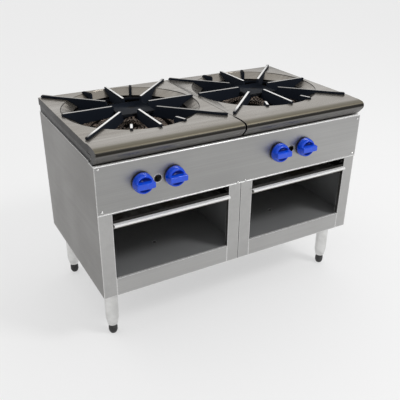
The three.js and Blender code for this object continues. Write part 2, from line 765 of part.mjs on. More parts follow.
// Small valve for the standing pilot.
function pilotValve() {
  const front = manifoldY - pilotFront;
  const body = box(-pilotBody, pilotBody, front, manifoldY + pilotBack,
    knobHeight - pilotBody, knobHeight + pilotBody);
  const inlet = turnedZ([
    [0, manifoldTop + seat], [pilotInlet, manifoldTop + seat], [pilotInlet, knobHeight], [0, knobHeight],
  ], fineSteps).translate([0, manifoldY, 0]);
  const head = front - pilotScrewReach;
  const screw = turnedY([[0, head], [pilotScrew, head], [pilotScrew, manifoldY], [0, manifoldY]], fineSteps)
    .translate([0, 0, knobHeight]);
  return join(body, inlet, screw);
}

// Bent tube from the pilot valve, back through the saddle and up between the
// two outer burner rings.
function pilotTube() {
  const gapRadius = (middleRing + outerRing) / 2;
  const x = -knobPitch / 2;
  const tipY = wellY - Math.sqrt(gapRadius ** 2 - x ** 2);
  const tubeSteps = 8;
  const start = manifoldY + pilotBack + seat;
  const along = alongY(circle(x, knobHeight, pilotTubeRadius, tubeSteps), start, tipY);
  const rise = alongZ(circle(x, tipY, pilotTubeRadius, tubeSteps), knobHeight, pilotTipHeight);
  const knee = solid(new THREE.SphereGeometry(pilotTubeRadius, tubeSteps, tubeSteps / 2))
    .translate([x, tipY, knobHeight]);
  return join(along, knee, rise);
}

// Pipe along the front with closed end, and an elbow back to the regulator.
function gasManifold(firstValve, inletX) {
  const left = firstValve - manifoldEnd;
  const run = alongX(circle(manifoldY, manifoldHeight, pipeRadius), left, inletX);
  const cap = alongX(circle(manifoldY, manifoldHeight, pipeRadius + capWall), left - capWall,
    left - capWall + capLength);
  const elbow = solid(new THREE.SphereGeometry(pipeRadius + fittingWall, smallSteps, smallSteps / 2))
    .translate([inletX, manifoldY, manifoldHeight]);
  const nipple = turnedY([
    [0, manifoldY], [pipeRadius, manifoldY], [pipeRadius, regulatorY - regulatorLength / 2 - seat],
    [0, regulatorY - regulatorLength / 2 - seat],
  ]).translate([inletX, 0, manifoldHeight]);
  return join(run, cap, elbow, nipple);
}

function pressureRegulator(x) {
  const half = regulatorLength / 2;
  const [collar, waist] = [pipeRadius + fittingWall, pipeRadius + fittingWall / 2];
  const [collarEnd, waistEnd] = [half - collarLength, half - collarLength - fittingWall];
  const body = turnedY([
    [0, -half], [collar, -half], [collar, -collarEnd], [waist, -waistEnd],
    [waist, waistEnd], [collar, collarEnd], [collar, half], [0, half],
  ]);
  const [bowl, rim, neck, cap] = regulatorHeights;
  const diaphragm = turnedZ([
    [0, 0], [regulatorBody, 0], [regulatorRadius, bowl], [regulatorRadius, rim], [regulatorBody, neck],
    [capRadius, neck], [capRadius, cap], [0, cap],
  ]);
  return join(body, diaphragm).translate([x, regulatorY, manifoldHeight]);
}

// Inlet pipe from the regulator out through the back panel.
function gasInletPipe(x) {
  const front = regulatorY + regulatorLength / 2 + seat;
  const back = cabinetDepth + inletReach;
  const pipe = turnedY([[0, front], [pipeRadius, front], [pipeRadius, back], [0, back]]);
  const bore = turnedY([
    [0, back - inletBoreDepth], [inletBore, back - inletBoreDepth], [inletBore, back + 1], [0, back + 1],
  ]);
  return cut(pipe, bore).translate([x, 0, manifoldHeight]);
}

// -------------------------------------------------------------- legs and feet
function leg() {
  const top = cabinetBottom - seat;
  const plate = top - legPlateThickness;
  const tube = turnedZ([
    [0, legBottom], [legEnd, legBottom], [legRadius, legBottom + legTaper], [legRadius, plate - legWeld],
    [legRadius + legWeld, plate], [legPlate, plate], [legPlate, top], [0, top],
  ]);
  const [boreRadius, boreEnd] = [footStem + turnFit, legBottom + footReach + footSpare];
  const bore = turnedZ([
    [0, legBottom - 1], [boreRadius, legBottom - 1], [boreRadius, boreEnd], [0, boreEnd],
  ], fineSteps);
  return cut(tube, bore);
}

// Bullet foot with its stem in the leg.
function foot() {
  const collar = legBottom - seat;
  const [low, high] = footNose;
  const stemTop = legBottom + footReach;
  return turnedZ([
    [0, 0], [footFace, 0], [footRadius - footChamfer, low], [footRadius, high], [footRadius, footCollar],
    [footRadius - footChamfer, collar], [footStem, collar], [footStem, stemTop], [0, stemTop],
  ], fineSteps);
}

// ------------------------------------------------------------------- assembly
const range = new THREE.Group();
const sections = [
  { name: 'left', centre: -sectionWidth / 2, outer: -1 },
  { name: 'right', centre: sectionWidth / 2, outer: 1 },
];
const inletX = rightCentre + inletOffset;
const pipeHole = [manifoldY, manifoldHeight, pipeRadius + seat];

for (const { name, centre, outer } of sections) {
  const section = new THREE.Group();
  section.position.x = centre;
  range.add(section);

  const hasInlet = centre === rightCentre;
  const inletHole = hasInlet ? [circle(inletOffset, manifoldHeight, pipeRadius + 2)] : [];
  const pilotPass = circle(-knobPitch / 2, knobHeight, pilotTubeRadius + 2, 12);
  const side = (which, holes) => sidePanel(which * halfInside, -which, holes);

  section.add(
    part(`${name}_outer_side_panel`, brushed, side(outer, [])),
    part(`${name}_inner_side_panel`, brushed, side(-outer, [pipeHole])),
    part(`${name}_back_panel`, galvanised, backPanel(inletHole)),
    part(`${name}_floor_pan`, brushed, floorPan()),
    part(`${name}_tray_runner_outer`, galvanised, trayRunner(outer)),
    part(`${name}_tray_runner_inner`, galvanised, trayRunner(-outer)),
    part(`${name}_drip_tray`, bright, dripTray()),
    part(`${name}_top_casting`, groundIron, topCasting()),
    part(`${name}_spider_grate`, blackIron, spiderGrate()),
    part(`${name}_inner_burner`, burnerIron, innerBurner()),
    part(`${name}_outer_burner`, burnerIron, outerBurner()),
    part(`${name}_burner_saddle`, galvanised, burnerSaddle([...inletHole, pilotPass])),
    part(`${name}_burner_rest`, galvanised, burnerRest()),
    part(`${name}_pilot_tube`, bright, pilotTube()),
  );

  const pilot = part(`${name}_pilot_valve`, brass, pilotValve());
  pilot.position.x = -knobPitch / 2;
  section.add(pilot);

  for (const [ring, x] of [['outer', -knobPitch], ['inner', 0]]) {
    const control = new THREE.Group();
    control.position.x = x;
    control.add(
      part(`${name}_${ring}_valve`, brass, valve()),
      part(`${name}_${ring}_valve_stem`, bright, valveStem()),
      part(`${name}_${ring}_knob`, blueKnob, knob()),
    );
    const shutter = part(`${name}_${ring}_air_shutter`, galvanised, airShutter());
    shutter.position.z = knobHeight;
    control.add(shutter);
    section.add(control);
  }

  for (const [place, y] of [['front', legFront], ['back', legBack]]) {
    const corner = new THREE.Group();
    corner.position.set(outer * (halfInside - legInset), y, 0);
    corner.add(part(`leg_${place}_${name}`, bright, leg()), part(`foot_${place}_${name}`, footPlastic, foot()));
    section.add(corner);
  }
}

const stems = sections.flatMap(({ centre }) => [centre - knobPitch, centre]);
const pilots = sections.map(({ centre }) => centre - knobPitch / 2);
range.add(
  part('control_panel', brushed, controlPanel(stems, pilots)),
  part('gas_manifold', steelPipe, gasManifold(stems[0], inletX)),
  part('pressure_regulator', galvanised, pressureRegulator(inletX)),
  part('gas_inlet_pipe', steelPipe, gasInletPipe(inletX)),
);

// The finished range stands over the origin, centred between the fronts of the
// knobs and the end of the inlet pipe.
const frontmost = panelFace - knobReach;
const rearmost = cabinetDepth + inletReach;
range.position.y = -(frontmost + rearmost) / 2;

export default range;
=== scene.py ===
# %% [markdown]
# This lesson dresses a stock pot range: two gas sections side by side, each with
# a cast plate, a spider grate, ring burners, a drip tray and an open base. Its
# solids come from the CAD model. Here they get their finishes, and pieces that
# need finer shapes are made again.

# %% Load the frame
import json
import math

import bmesh
import bpy
from mathutils import Matrix, Vector


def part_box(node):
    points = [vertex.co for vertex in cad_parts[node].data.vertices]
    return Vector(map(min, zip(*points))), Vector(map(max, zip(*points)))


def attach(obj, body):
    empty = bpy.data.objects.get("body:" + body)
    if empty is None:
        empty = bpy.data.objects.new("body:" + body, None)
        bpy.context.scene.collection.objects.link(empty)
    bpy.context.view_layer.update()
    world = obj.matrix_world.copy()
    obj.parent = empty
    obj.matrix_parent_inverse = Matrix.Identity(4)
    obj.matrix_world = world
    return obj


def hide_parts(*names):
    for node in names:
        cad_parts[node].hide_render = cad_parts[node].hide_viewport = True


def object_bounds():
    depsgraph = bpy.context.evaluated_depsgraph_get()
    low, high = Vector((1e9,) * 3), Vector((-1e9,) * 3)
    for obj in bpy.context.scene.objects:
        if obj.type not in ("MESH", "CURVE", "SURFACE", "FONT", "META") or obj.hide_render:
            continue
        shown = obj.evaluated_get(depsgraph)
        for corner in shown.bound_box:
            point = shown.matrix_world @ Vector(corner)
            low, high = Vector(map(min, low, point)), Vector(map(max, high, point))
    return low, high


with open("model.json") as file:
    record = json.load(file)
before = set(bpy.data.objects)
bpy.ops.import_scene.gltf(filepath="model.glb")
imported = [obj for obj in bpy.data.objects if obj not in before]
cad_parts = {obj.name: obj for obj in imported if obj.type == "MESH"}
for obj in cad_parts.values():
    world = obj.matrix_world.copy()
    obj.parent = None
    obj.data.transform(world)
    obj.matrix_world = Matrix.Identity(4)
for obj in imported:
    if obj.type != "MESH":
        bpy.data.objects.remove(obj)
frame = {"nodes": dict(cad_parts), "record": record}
nodes = frame["nodes"]
cad_low, cad_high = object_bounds()
print("CAD box", [round(v, 3) for v in (*cad_low, *cad_high)])

# %% [markdown]
# The two sections are alike, so names are made from lists of sides. Sizes are
# easier to read in millimetres, while Blender works in metres, so they carry mm.

# %% Names and units
mm = 0.001
sides = ("left", "right")
burner_places = ("outer", "inner")
diagonals = (45, 135, 225, 315)


def middle(node):
    """Centre of a CAD node's box."""
    low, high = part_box(node)
    return (low + high) / 2


def new_object(name, data):
    """An object with this data, linked into the scene."""
    made = bpy.data.objects.new(name, data)
    bpy.context.scene.collection.objects.link(made)
    return made


wells = {side: middle(f"{side}_spider_grate") for side in sides}
print("wells", {side: [round(v, 4) for v in well] for side, well in wells.items()})

# %% [markdown]
# The camera stands off the front left corner, above the top plate. Its place,
# turn and lens were solved from corners of the cabinet in the photograph, so the
# model and the picture line up.

# %% The camera
camera_place = Vector((-859.1, -1497.0, 1169.9)) * mm
camera_turn = (62.79, -0.53, -29.45)
camera_lens = 49.8

camera_data = bpy.data.cameras.new("camera")
camera_data.sensor_width = 36
camera_data.lens = camera_lens
camera = new_object("camera", camera_data)
camera.location = camera_place
camera.rotation_euler = [math.radians(angle) for angle in camera_turn]
bpy.context.scene.camera = camera
print("camera", [round(v, 3) for v in camera.location])

# %% [markdown]
# A material is a small network of shader nodes. One helper adds a node and fills
# its sockets: a value that is itself a socket is wired, and any other is set.


# %% A helper for shader nodes
class Network:
    """Adds nodes to a node tree and wires them as they are made."""

    def __init__(self, tree):
        self.tree = tree

    def add(self, kind, inputs=None, **settings):
        node = self.tree.nodes.new(kind)
        for name, value in settings.items():
            setattr(node, name, value)
        for socket, value in (inputs or {}).items():
            if isinstance(value, bpy.types.NodeSocket):
                self.tree.links.new(value, node.inputs[socket])
            else:
                node.inputs[socket].default_value = value
        return node

    def math(self, operation, first, second=0.0, clamp=False):
        node = self.add("ShaderNodeMath", {0: first, 1: second}, operation=operation)
        node.use_clamp = clamp
        return node.outputs[0]

    def times(self, first, second, clamp=False):
        return self.math("MULTIPLY", first, second, clamp)

    def remap(self, value, low, high, new_low=0.0, new_high=1.0):
        names = ("Value", "From Min", "From Max", "To Min", "To Max")
        values = (value, low, high, new_low, new_high)
        return self.add("ShaderNodeMapRange", dict(zip(names, values))).outputs[0]

    def between(self, share, low, high):
        return self.remap(share, 0.0, 1.0, low, high)

    def mix(self, factor, first, second):
        """A blend of two colours. Its node keeps the colour sockets at 6 and 7."""
        sockets = {0: factor, 6: first, 7: second}
        return self.add("ShaderNodeMix", sockets, data_type="RGBA").outputs[2]

    def place(self):
        """Where a point lies in the piece's own space."""
        return self.add("ShaderNodeTexCoord").outputs["Object"]

    def facing(self):
        """The direction that a surface faces."""
        return self.add("ShaderNodeNewGeometry").outputs["Normal"]

    def parts(self, vector):
        """The X, Y and Z of a vector."""
        return self.add("ShaderNodeSeparateXYZ", {0: vector}).outputs

    def vector_math(self, operation, *vectors):
        values = dict(enumerate(vectors))
        return self.add("ShaderNodeVectorMath", values, operation=operation).outputs

    def stretched(self, vector, factors):
        return self.vector_math("MULTIPLY", vector, factors)[0]

    def distance(self, across, along):
        """How far a flat place lies from the middle."""
        flat = self.add("ShaderNodeCombineXYZ", {0: across, 1: along}).outputs[0]
        return self.vector_math("LENGTH", flat)["Value"]

    def noise(self, vector, scale, detail, **more):
        values = {"Vector": vector, "Scale": scale, "Detail": detail, **more}
        return self.add("ShaderNodeTexNoise", values).outputs[0]

    def link(self, value, socket):
        self.tree.links.new(value, socket)


def rgb(red, green, blue):
    return (red, green, blue, 1.0)


# %% [markdown]
# Effects that several finishes share are node groups. The first is the grain
# that a belt leaves on sheet metal: noise stretched into long faint streaks.


# %% Group helper and the brushed grain
def new_group(name, inputs, outputs):
    """A shader node group: its inputs as {name: value}, and the names of its value outputs."""
    tree = bpy.data.node_groups.new(name, "ShaderNodeTree")
    for socket, value in inputs.items():
        kind = "NodeSocketVector" if isinstance(value, tuple) else "NodeSocketFloat"
        tree.interface.new_socket(socket, in_out="INPUT", socket_type=kind).default_value = value
    for socket in outputs:
        tree.interface.new_socket(socket, in_out="OUTPUT", socket_type="NodeSocketFloat")
    network = Network(tree)
    print("group", name)
    return network, network.add("NodeGroupInput").outputs, network.add("NodeGroupOutput").inputs


grain, grain_in, grain_out = new_group(
    "brushed grain", {"Stretch": (3.0, 420.0, 420.0), "Fineness": 1.0}, ["Streaks", "Height"]
)
stretched = grain.stretched(grain.place(), grain_in["Stretch"])
fine = grain.noise(stretched, grain_in["Fineness"], 3.0)
broad = grain.noise(stretched, 0.12, 2.0)
both = grain.math("ADD", grain.times(fine, 0.6), grain.times(broad, 0.4))
grain.link(grain.remap(both, 0.35, 0.65), grain_out["Streaks"])
grain.link(fine, grain_out["Height"])

# %% [markdown]
# Edges of metal are slightly rounded, and this mask makes them lighter: partly
# rubbed wear, partly a painted highlight along the edge. The Bevel node gives the
# normal of a rounded edge, so where it leaves the true normal an edge is near.

# %% The edge wear and highlight group
wear_and_highlight, wear_and_highlight_in, wear_and_highlight_out = new_group("edge wear", {"Width": 1.5 * mm, "Breakup": 0.5}, ["Mask"])
true_normal = wear_and_highlight.facing()
round_normal = wear_and_highlight.add("ShaderNodeBevel", {"Radius": wear_and_highlight_in["Width"]}, samples=4).outputs[0]
agree = wear_and_highlight.vector_math("DOT_PRODUCT", true_normal, round_normal)["Value"]
near_edge = wear_and_highlight.remap(agree, 0.995, 0.86)
chips = wear_and_highlight.noise(wear_and_highlight.place(), 160.0, 4.0)
rough_mask = wear_and_highlight.times(wear_and_highlight.remap(chips, 0.35, 0.6), wear_and_highlight_in["Breakup"])
solid_mask = wear_and_highlight.math("SUBTRACT", 1.0, wear_and_highlight_in["Breakup"])
keep = wear_and_highlight.math("ADD", rough_mask, solid_mask, clamp=True)
wear_and_highlight.link(wear_and_highlight.times(near_edge, keep, clamp=True), wear_and_highlight_out["Mask"])

# %% [markdown]
# Fingerprints, heat and oil leave broad soft blotches, so a third group gives a
# slow noise with a settable contrast.

# %% The blotches group
blotches, blotches_in, blotches_out = new_group(
    "blotches", {"Scale": 6.0, "Stretch": (1.0, 1.0, 1.0), "Low": 0.4, "High": 0.6}, ["Mask"]
)
stretched = blotches.stretched(blotches.place(), blotches_in["Stretch"])
cloud = blotches.noise(stretched, blotches_in["Scale"], 5.0, Distortion=0.4)
spread = blotches.remap(cloud, blotches_in["Low"], blotches_in["High"])
blotches.link(spread, blotches_out["Mask"])

# %% [markdown]
# Sand casting leaves iron with a skin of fine lumps. Two noises of different
# size make it, and it feeds a Bump node in each iron finish.

# %% The cast skin group
skin, skin_in, skin_out = new_group("cast skin", {"Scale": 1.0}, ["Height", "Specks"])
place = skin.place()
lumps = skin.noise(place, skin.times(skin_in["Scale"], 260.0), 3.0)
pits = skin.add("ShaderNodeTexVoronoi", {
    "Vector": place, "Scale": skin.times(skin_in["Scale"], 420.0),
}).outputs["Distance"]
mixed = skin.math("ADD", skin.times(lumps, 0.7), skin.times(pits, 0.3))
skin.link(mixed, skin_out["Height"])
skin.link(skin.remap(pits, 0.05, 0.35, 1.0, 0.0), skin_out["Specks"])

# %% [markdown]
# Inside the cabinet the sheets are dull. A small group tells inside from outside
# by place: behind the front faces and between the outer walls.

# %% The cabinet inside group
cabinet_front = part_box("left_floor_pan")[0].y
cabinet_side = cad_high.x
fold_depth, sheet = 15 * mm, 1.3 * mm
inner, inner_in, inner_out = new_group(
    "cabinet inside", {"Front": cabinet_front + fold_depth, "Side": cabinet_side - sheet}, ["Mask"]
)
place = inner.parts(inner.place())
behind = inner.math("GREATER_THAN", place["Y"], inner_in["Front"])
within = inner.math("LESS_THAN", inner.math("ABSOLUTE", place["X"]), inner_in["Side"])
inner.link(inner.times(behind, within), inner_out["Mask"])

# %% [markdown]
# Two iron finishes change with the distance from the middle of a well and with
# the direction round it. The group finds its own well by the sign of X.

# %% The well place group
well_place, well_in, well_out = new_group(
    "well place", {"Side": 0.2, "Back": 0.0}, ["Reach", "Turn", "Behind"]
)
place = well_place.parts(well_place.place())
own_side = well_place.times(well_place.math("SIGN", place["X"]), well_in["Side"])
x = well_place.math("SUBTRACT", place["X"], own_side)
y = well_place.math("SUBTRACT", place["Y"], well_in["Back"])
well_place.link(well_place.distance(x, y), well_out["Reach"])
well_place.link(well_place.math("ARCTAN2", y, x), well_out["Turn"])
well_place.link(well_place.math("GREATER_THAN", y, 0.0), well_out["Behind"])

# %% [markdown]
# Each finish below is one material with its own Principled shader. Metals take
# their look from roughness and tint, so those get the variation.


# %% Starting a material
def new_finish(name, metallic=0.0, **sockets):
    """A material, its network and its shader."""
    print("finish", name)
    material = bpy.data.materials.new(name)
    material.use_nodes = True
    tree = material.node_tree
    shader = tree.nodes["Principled BSDF"]
    shader.inputs["Metallic"].default_value = metallic
    for socket, value in sockets.items():
        shader.inputs[socket.replace("_", " ")].default_value = value
    return material, Network(tree), shader


def use_group(network, name, **inputs):
    node = network.add("ShaderNodeGroup", node_tree=bpy.data.node_groups[name])
    for socket, value in inputs.items():
        node.inputs[socket].default_value = value
    return node.outputs


def set_surface(network, shader, colour, roughness, height=None, depth=0.0):
    """Wires colour and roughness into the shader, and a height through a Bump node."""
    network.link(colour, shader.inputs["Base Color"])
    network.link(roughness, shader.inputs["Roughness"])
    if height is not None:
        bump = network.add("ShaderNodeBump", {"Height": height, "Distance": depth, "Strength": 1.0})
        network.link(bump.outputs[0], shader.inputs["Normal"])


# %% [markdown]
# The cabinet is brushed stainless steel. Sheets are brushed along their length,
# so the front is grained along X and the sides along Y, and reflections smear
# across the grain, which is what Anisotropic does. Cut and folded edges are
# brighter: in the photograph every opening and the panel's top have light rims.
# The front is lighter there low down and towards its right end, so its tone
# changes with the place. A dark seam parts the two sections.

# %% Brushed stainless
panel_bottom, panel_top = (corner.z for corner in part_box("control_panel"))
hem_height = 3.2 * mm
lip_back = cabinet_front + 6 * mm
tone_above, tone_below = 255 * mm, 225 * mm
seam_half = 1.1 * mm


def brushed_stainless(name, stretch, tone, front_tone):
    material, network, shader = new_finish(name, metallic=1.0, Anisotropic=0.5)
    grained = use_group(network, "brushed grain", Stretch=stretch)
    smudges = use_group(network, "blotches", Scale=5.0, Low=0.35, High=0.65)
    edges = use_group(network, "edge wear", Width=3.6 * mm, Breakup=0.12)
    inside = use_group(network, "cabinet inside")["Mask"]
    facing = network.parts(network.facing())
    place = network.parts(network.place())
    front = network.remap(facing["Y"], -0.5, -0.9)
    # Painted light: the front is made lighter low down and towards its right end.
    lower = network.remap(place["Z"], tone_above, tone_below)
    painted_light_share = network.math("MAXIMUM", lower, network.remap(place["X"], 0.0, cabinet_side, 0.0, 0.8))
    front_painted_light = network.mix(painted_light_share, rgb(*front_tone), rgb(0.48, 0.477, 0.47))
    plain_tone = network.mix(front, rgb(*tone), front_painted_light)
    valleys = network.times(network.math("SUBTRACT", 1.0, grained["Streaks"]), 0.12)
    soil = network.math("ADD", valleys, network.times(smudges["Mask"], 0.03))
    soiled = network.mix(soil, plain_tone, rgb(0.0, 0.0, 0.0))
    # Painted highlight: the edges, the panel's top hem and upward lips in front turn near white.
    hem_highlight = network.math("GREATER_THAN", place["Z"], panel_top - hem_height)
    rim_highlights = network.math("MAXIMUM", edges["Mask"], network.times(hem_highlight, front))
    foremost = network.math("LESS_THAN", place["Y"], lip_back)
    lip_highlights = network.times(foremost, network.remap(facing["Z"], 0.3, 0.6))
    rim_highlights = network.math("MAXIMUM", rim_highlights, lip_highlights)
    with_rim_highlights = network.mix(rim_highlights, soiled, rgb(0.97, 0.97, 0.96))
    seam = network.math("LESS_THAN", network.math("ABSOLUTE", place["X"]), seam_half)
    below_panel = network.math("LESS_THAN", place["Z"], panel_bottom)
    seamed = network.mix(network.times(seam, below_panel), with_rim_highlights, rgb(0.03, 0.03, 0.03))
    dulled = network.mix(inside, seamed, rgb(0.29, 0.295, 0.3))
    streaky = network.between(grained["Streaks"], 0.30, 0.40)
    rough = network.math("ADD", streaky, network.times(smudges["Mask"], 0.06))
    rough = network.math("ADD", rough, network.times(inside, 0.12))
    bare = network.math("SUBTRACT", 1.0, network.times(rim_highlights, 0.5))
    metal = network.math("SUBTRACT", bare, network.times(inside, 0.65), clamp=True)
    network.link(metal, shader.inputs["Metallic"])
    set_surface(network, shader, dulled, rough, grained["Height"], 0.04 * mm)
    return material


along_x, along_y = (3.0, 420.0, 420.0), (420.0, 3.0, 420.0)
front_steel = brushed_stainless("front steel", along_x, (0.37, 0.366, 0.358), (0.37, 0.368, 0.362))
# The side steel is a lit and shaded copy of the front steel: its sides are painted darker, a painted
# shade, and its stile fronts lighter, painted light.
side_steel = brushed_stainless("side steel", along_y, (0.26, 0.253, 0.245), (0.49, 0.486, 0.478))

# %% [markdown]
# Legs and stems are polished steel, the brightest metal here. A drip tray's lip
# is painted near white, a painted highlight, and its walls near black, a painted
# shade, while its bottom is stained. Runners and back panels are galvanised and
# stay dull.

# %% Polished steel
bright_steel, network, shader = new_finish("polished steel", metallic=1.0)
smudges = use_group(network, "blotches", Scale=30.0, Low=0.4, High=0.7)
colour = network.mix(smudges["Mask"], rgb(0.72, 0.72, 0.71), rgb(0.60, 0.60, 0.59))
set_surface(network, shader, colour, network.between(smudges["Mask"], 0.16, 0.26))

# %% Tray steel
tray_lip_back = cabinet_front + 1.2 * mm
tray_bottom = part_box("left_drip_tray")[0].z
tray_finish, network, shader = new_finish("tray steel")
stains = use_group(network, "blotches", Scale=14.0, Low=0.4, High=0.62)
smudges = use_group(network, "blotches", Scale=60.0, Low=0.4, High=0.7)
place = network.parts(network.place())
# Painted highlight on the lip, painted shade on the walls above the bottom.
lip = network.math("LESS_THAN", place["Y"], tray_lip_back)
shaded_walls = network.remap(place["Z"], tray_bottom + 2 * mm, tray_bottom + 9 * mm)
steel = network.mix(stains["Mask"], rgb(0.34, 0.335, 0.325), rgb(0.13, 0.11, 0.085))
painted_dark = network.mix(shaded_walls, steel, rgb(0.022, 0.02, 0.018))
tray_lip_highlight = network.mix(smudges["Mask"], rgb(0.96, 0.96, 0.95), rgb(0.9, 0.9, 0.89))
colour = network.mix(lip, painted_dark, tray_lip_highlight)
network.link(network.between(lip, 0.55, 0.1), shader.inputs["Metallic"])
stained = network.between(stains["Mask"], 0.34, 0.5)
set_surface(network, shader, colour, network.math("SUBTRACT", stained, network.times(lip, 0.04)))

# %% Galvanised steel
dull_steel, network, shader = new_finish("galvanised steel", metallic=0.15)
spangle = network.add("ShaderNodeTexVoronoi", {"Vector": network.place(), "Scale": 90.0})
flake = network.math("ADD", spangle.outputs["Color"], 0.0)
colour = network.mix(flake, rgb(0.42, 0.43, 0.44), rgb(0.54, 0.55, 0.56))
set_surface(network, shader, colour, network.between(flake, 0.42, 0.55))

# %% [markdown]
# The top plates are bare ground iron. Grinding leaves streaks along X, and oil
# burnt on by the heat stains the metal brown, most of all on the rolled nose. The
# nose's tone follows the way it faces: a near black band along its upper curve is
# a painted reflection of a dark horizon, and its paler grey underside is a painted
# reflection of the floor. The sides were never ground and stay dark.

# %% Ground iron
hole_radius = 180 * mm
nose_back, nose_front = cabinet_front + 16 * mm, cabinet_front + 2 * mm
well = wells["right"]
ground_iron, network, shader = new_finish("ground iron", metallic=0.8)
grained = use_group(network, "brushed grain", Stretch=(5.0, 160.0, 160.0), Fineness=0.8)
stains = use_group(network, "blotches", Scale=4.0, Stretch=(0.5, 1.6, 1.6), Low=0.42, High=0.66)
edges = use_group(network, "edge wear", Width=1.6 * mm, Breakup=0.6)
cast = use_group(network, "cast skin", Scale=0.6)
place = network.parts(network.place())
facing = network.parts(network.facing())
base = network.mix(grained["Streaks"], rgb(0.27, 0.25, 0.225), rgb(0.36, 0.34, 0.31))
stained = network.mix(network.times(stains["Mask"], 0.5), base, rgb(0.17, 0.145, 0.11))
nose = network.remap(place["Y"], nose_back, nose_front)
# Painted reflection: a near black band where the nose faces partly up, and a grey underside.
from_painted_band = network.math("ABSOLUTE", network.math("SUBTRACT", facing["Z"], 0.30))
painted_band = network.times(network.remap(from_painted_band, 0.4, 0.26), nose)
painted_underside = network.remap(facing["Z"], 0.1, -0.1)
nose_tone = network.mix(painted_underside, rgb(0.13, 0.115, 0.08), rgb(0.15, 0.147, 0.143))
oiled_and_painted = network.mix(network.times(nose, 0.9), stained, nose_tone)
painted_dark = network.mix(network.times(painted_band, 0.9), oiled_and_painted, rgb(0.018, 0.017, 0.016))
side = network.remap(network.math("ABSOLUTE", facing["X"]), 0.45, 0.75)
unground = network.mix(side, painted_dark, rgb(0.03, 0.029, 0.028))
# Edges are lighter, partly wear and partly a painted highlight.
rubbed_and_highlighted = network.mix(edges["Mask"], unground, rgb(0.5, 0.48, 0.45))
reach = use_group(network, "well place", Side=well.x, Back=well.y)["Reach"]
in_hole = network.math("LESS_THAN", reach, hole_radius + 0.4 * mm)
sooty = network.mix(in_hole, rubbed_and_highlighted, rgb(0.015, 0.013, 0.012))
streaky = network.between(grained["Streaks"], 0.30, 0.22)
dull = network.math("MAXIMUM", nose, side)
rough = network.math("ADD", streaky, network.times(dull, 0.17))
set_surface(network, shader, sooty, rough, cast["Height"], 0.02 * mm)

# %% [markdown]
# The grates are black cast iron. Pots sliding over them have polished the tops
# of the arms to bare metal, so faces that look straight up at the height of the
# arms are polished, but for the last bit of each tip, where no pot reaches. Their
# tone is a painted highlight: near white on the arms that lie close to the line at
# 60 and 240 degrees round the well, grey on the arms across it, and the two short
# fingers behind, which lie a little lower, are left black. The upright flanks are
# painted bluish, a painted reflection, and the flat faces near black. The place is
# read in object space and travels with the grate.

# %% Black iron with bright tops
grate_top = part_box("right_spider_grate")[1].z
worn_depth, finger_drop = 3.8 * mm, 2.4 * mm
tip_start, tip_end = 262 * mm, 300 * mm
bright_turn = math.radians(60)
black_iron, network, shader = new_finish("black iron", Specular_IOR_Level=0.1)
cast = use_group(network, "cast skin", Scale=0.8)
edges = use_group(network, "edge wear", Width=1.0 * mm, Breakup=0.9)
patches = use_group(network, "blotches", Scale=30.0, Low=0.3, High=0.6)
about = use_group(network, "well place", Side=well.x, Back=well.y)
place = network.parts(network.place())
facing = network.parts(network.facing())
# Painted highlight: how bright a polished top turns depends on its direction round the well, and the
# fingers behind stay black.
from_bright = network.math("SUBTRACT", about["Turn"], bright_turn)
along = network.math("COSINE", network.times(from_bright, 2.0))
lowest = network.math("ADD", grate_top - worn_depth, network.times(about["Behind"], finger_drop))
high = network.remap(place["Z"], lowest, network.math("ADD", lowest, 1 * mm))
upward = network.remap(facing["Z"], 0.9, 0.985)
tip = network.remap(about["Reach"], tip_start, tip_end, 1.0, 0.25)
polished = network.times(network.times(high, upward), tip, clamp=True)
worn = network.math("MAXIMUM", polished, network.times(edges["Mask"], 0.06))
# Painted reflection: upright flanks are bluish, flat faces near black.
flanks = network.mix(cast["Specks"], rgb(0.012, 0.016, 0.025), rgb(0.022, 0.031, 0.046))
flats = network.mix(cast["Specks"], rgb(0.005, 0.005, 0.006), rgb(0.012, 0.012, 0.014))
iron = network.mix(network.remap(facing["Z"], 0.3, 0.7), flanks, flats)
painted_highlight_share = network.remap(along, -0.9, 0.45)
tone = network.mix(painted_highlight_share, rgb(0.30, 0.295, 0.28), rgb(0.95, 0.945, 0.93))
streaked = network.mix(network.times(patches["Mask"], 0.2), tone, rgb(0.45, 0.43, 0.4))
colour = network.mix(worn, iron, streaked)
network.link(worn, shader.inputs["Metallic"])
rough = network.between(worn, 0.7, 0.26)
set_surface(network, shader, colour, rough, cast["Height"], 0.12 * mm)

# %% [markdown]
# Burners are rough castings that have scaled in the flame to a brown black. The
# faces that look up, the lands between the ports, are painted lighter than the
# flanks, a painted highlight. The ports are near black, partly soot and partly
# painted shade, so they get a finish of their own.

# %% Burner iron, and soot and shade
burner_iron, network, shader = new_finish("burner iron", metallic=0.5)
cast = use_group(network, "cast skin", Scale=0.7)
scale = use_group(network, "blotches", Scale=60.0, Low=0.4, High=0.62)
edges = use_group(network, "edge wear", Width=0.8 * mm, Breakup=0.4)
facing = network.parts(network.facing())
# Painted highlight: faces that look up, the lands, are lighter than the flanks, and their edges
# lighter still.
upward = network.remap(facing["Z"], 0.4, 0.7)
flanks = network.mix(scale["Mask"], rgb(0.014, 0.011, 0.009), rgb(0.04, 0.03, 0.023))
lands = network.mix(scale["Mask"], rgb(0.10, 0.075, 0.06), rgb(0.42, 0.33, 0.27))
base = network.mix(upward, flanks, lands)
rubbed_and_highlighted = network.mix(network.times(edges["Mask"], upward), base, rgb(0.6, 0.49, 0.4))
rough = network.between(scale["Mask"], 0.5, 0.7)
set_surface(network, shader, rubbed_and_highlighted, rough, cast["Height"], 0.2 * mm)

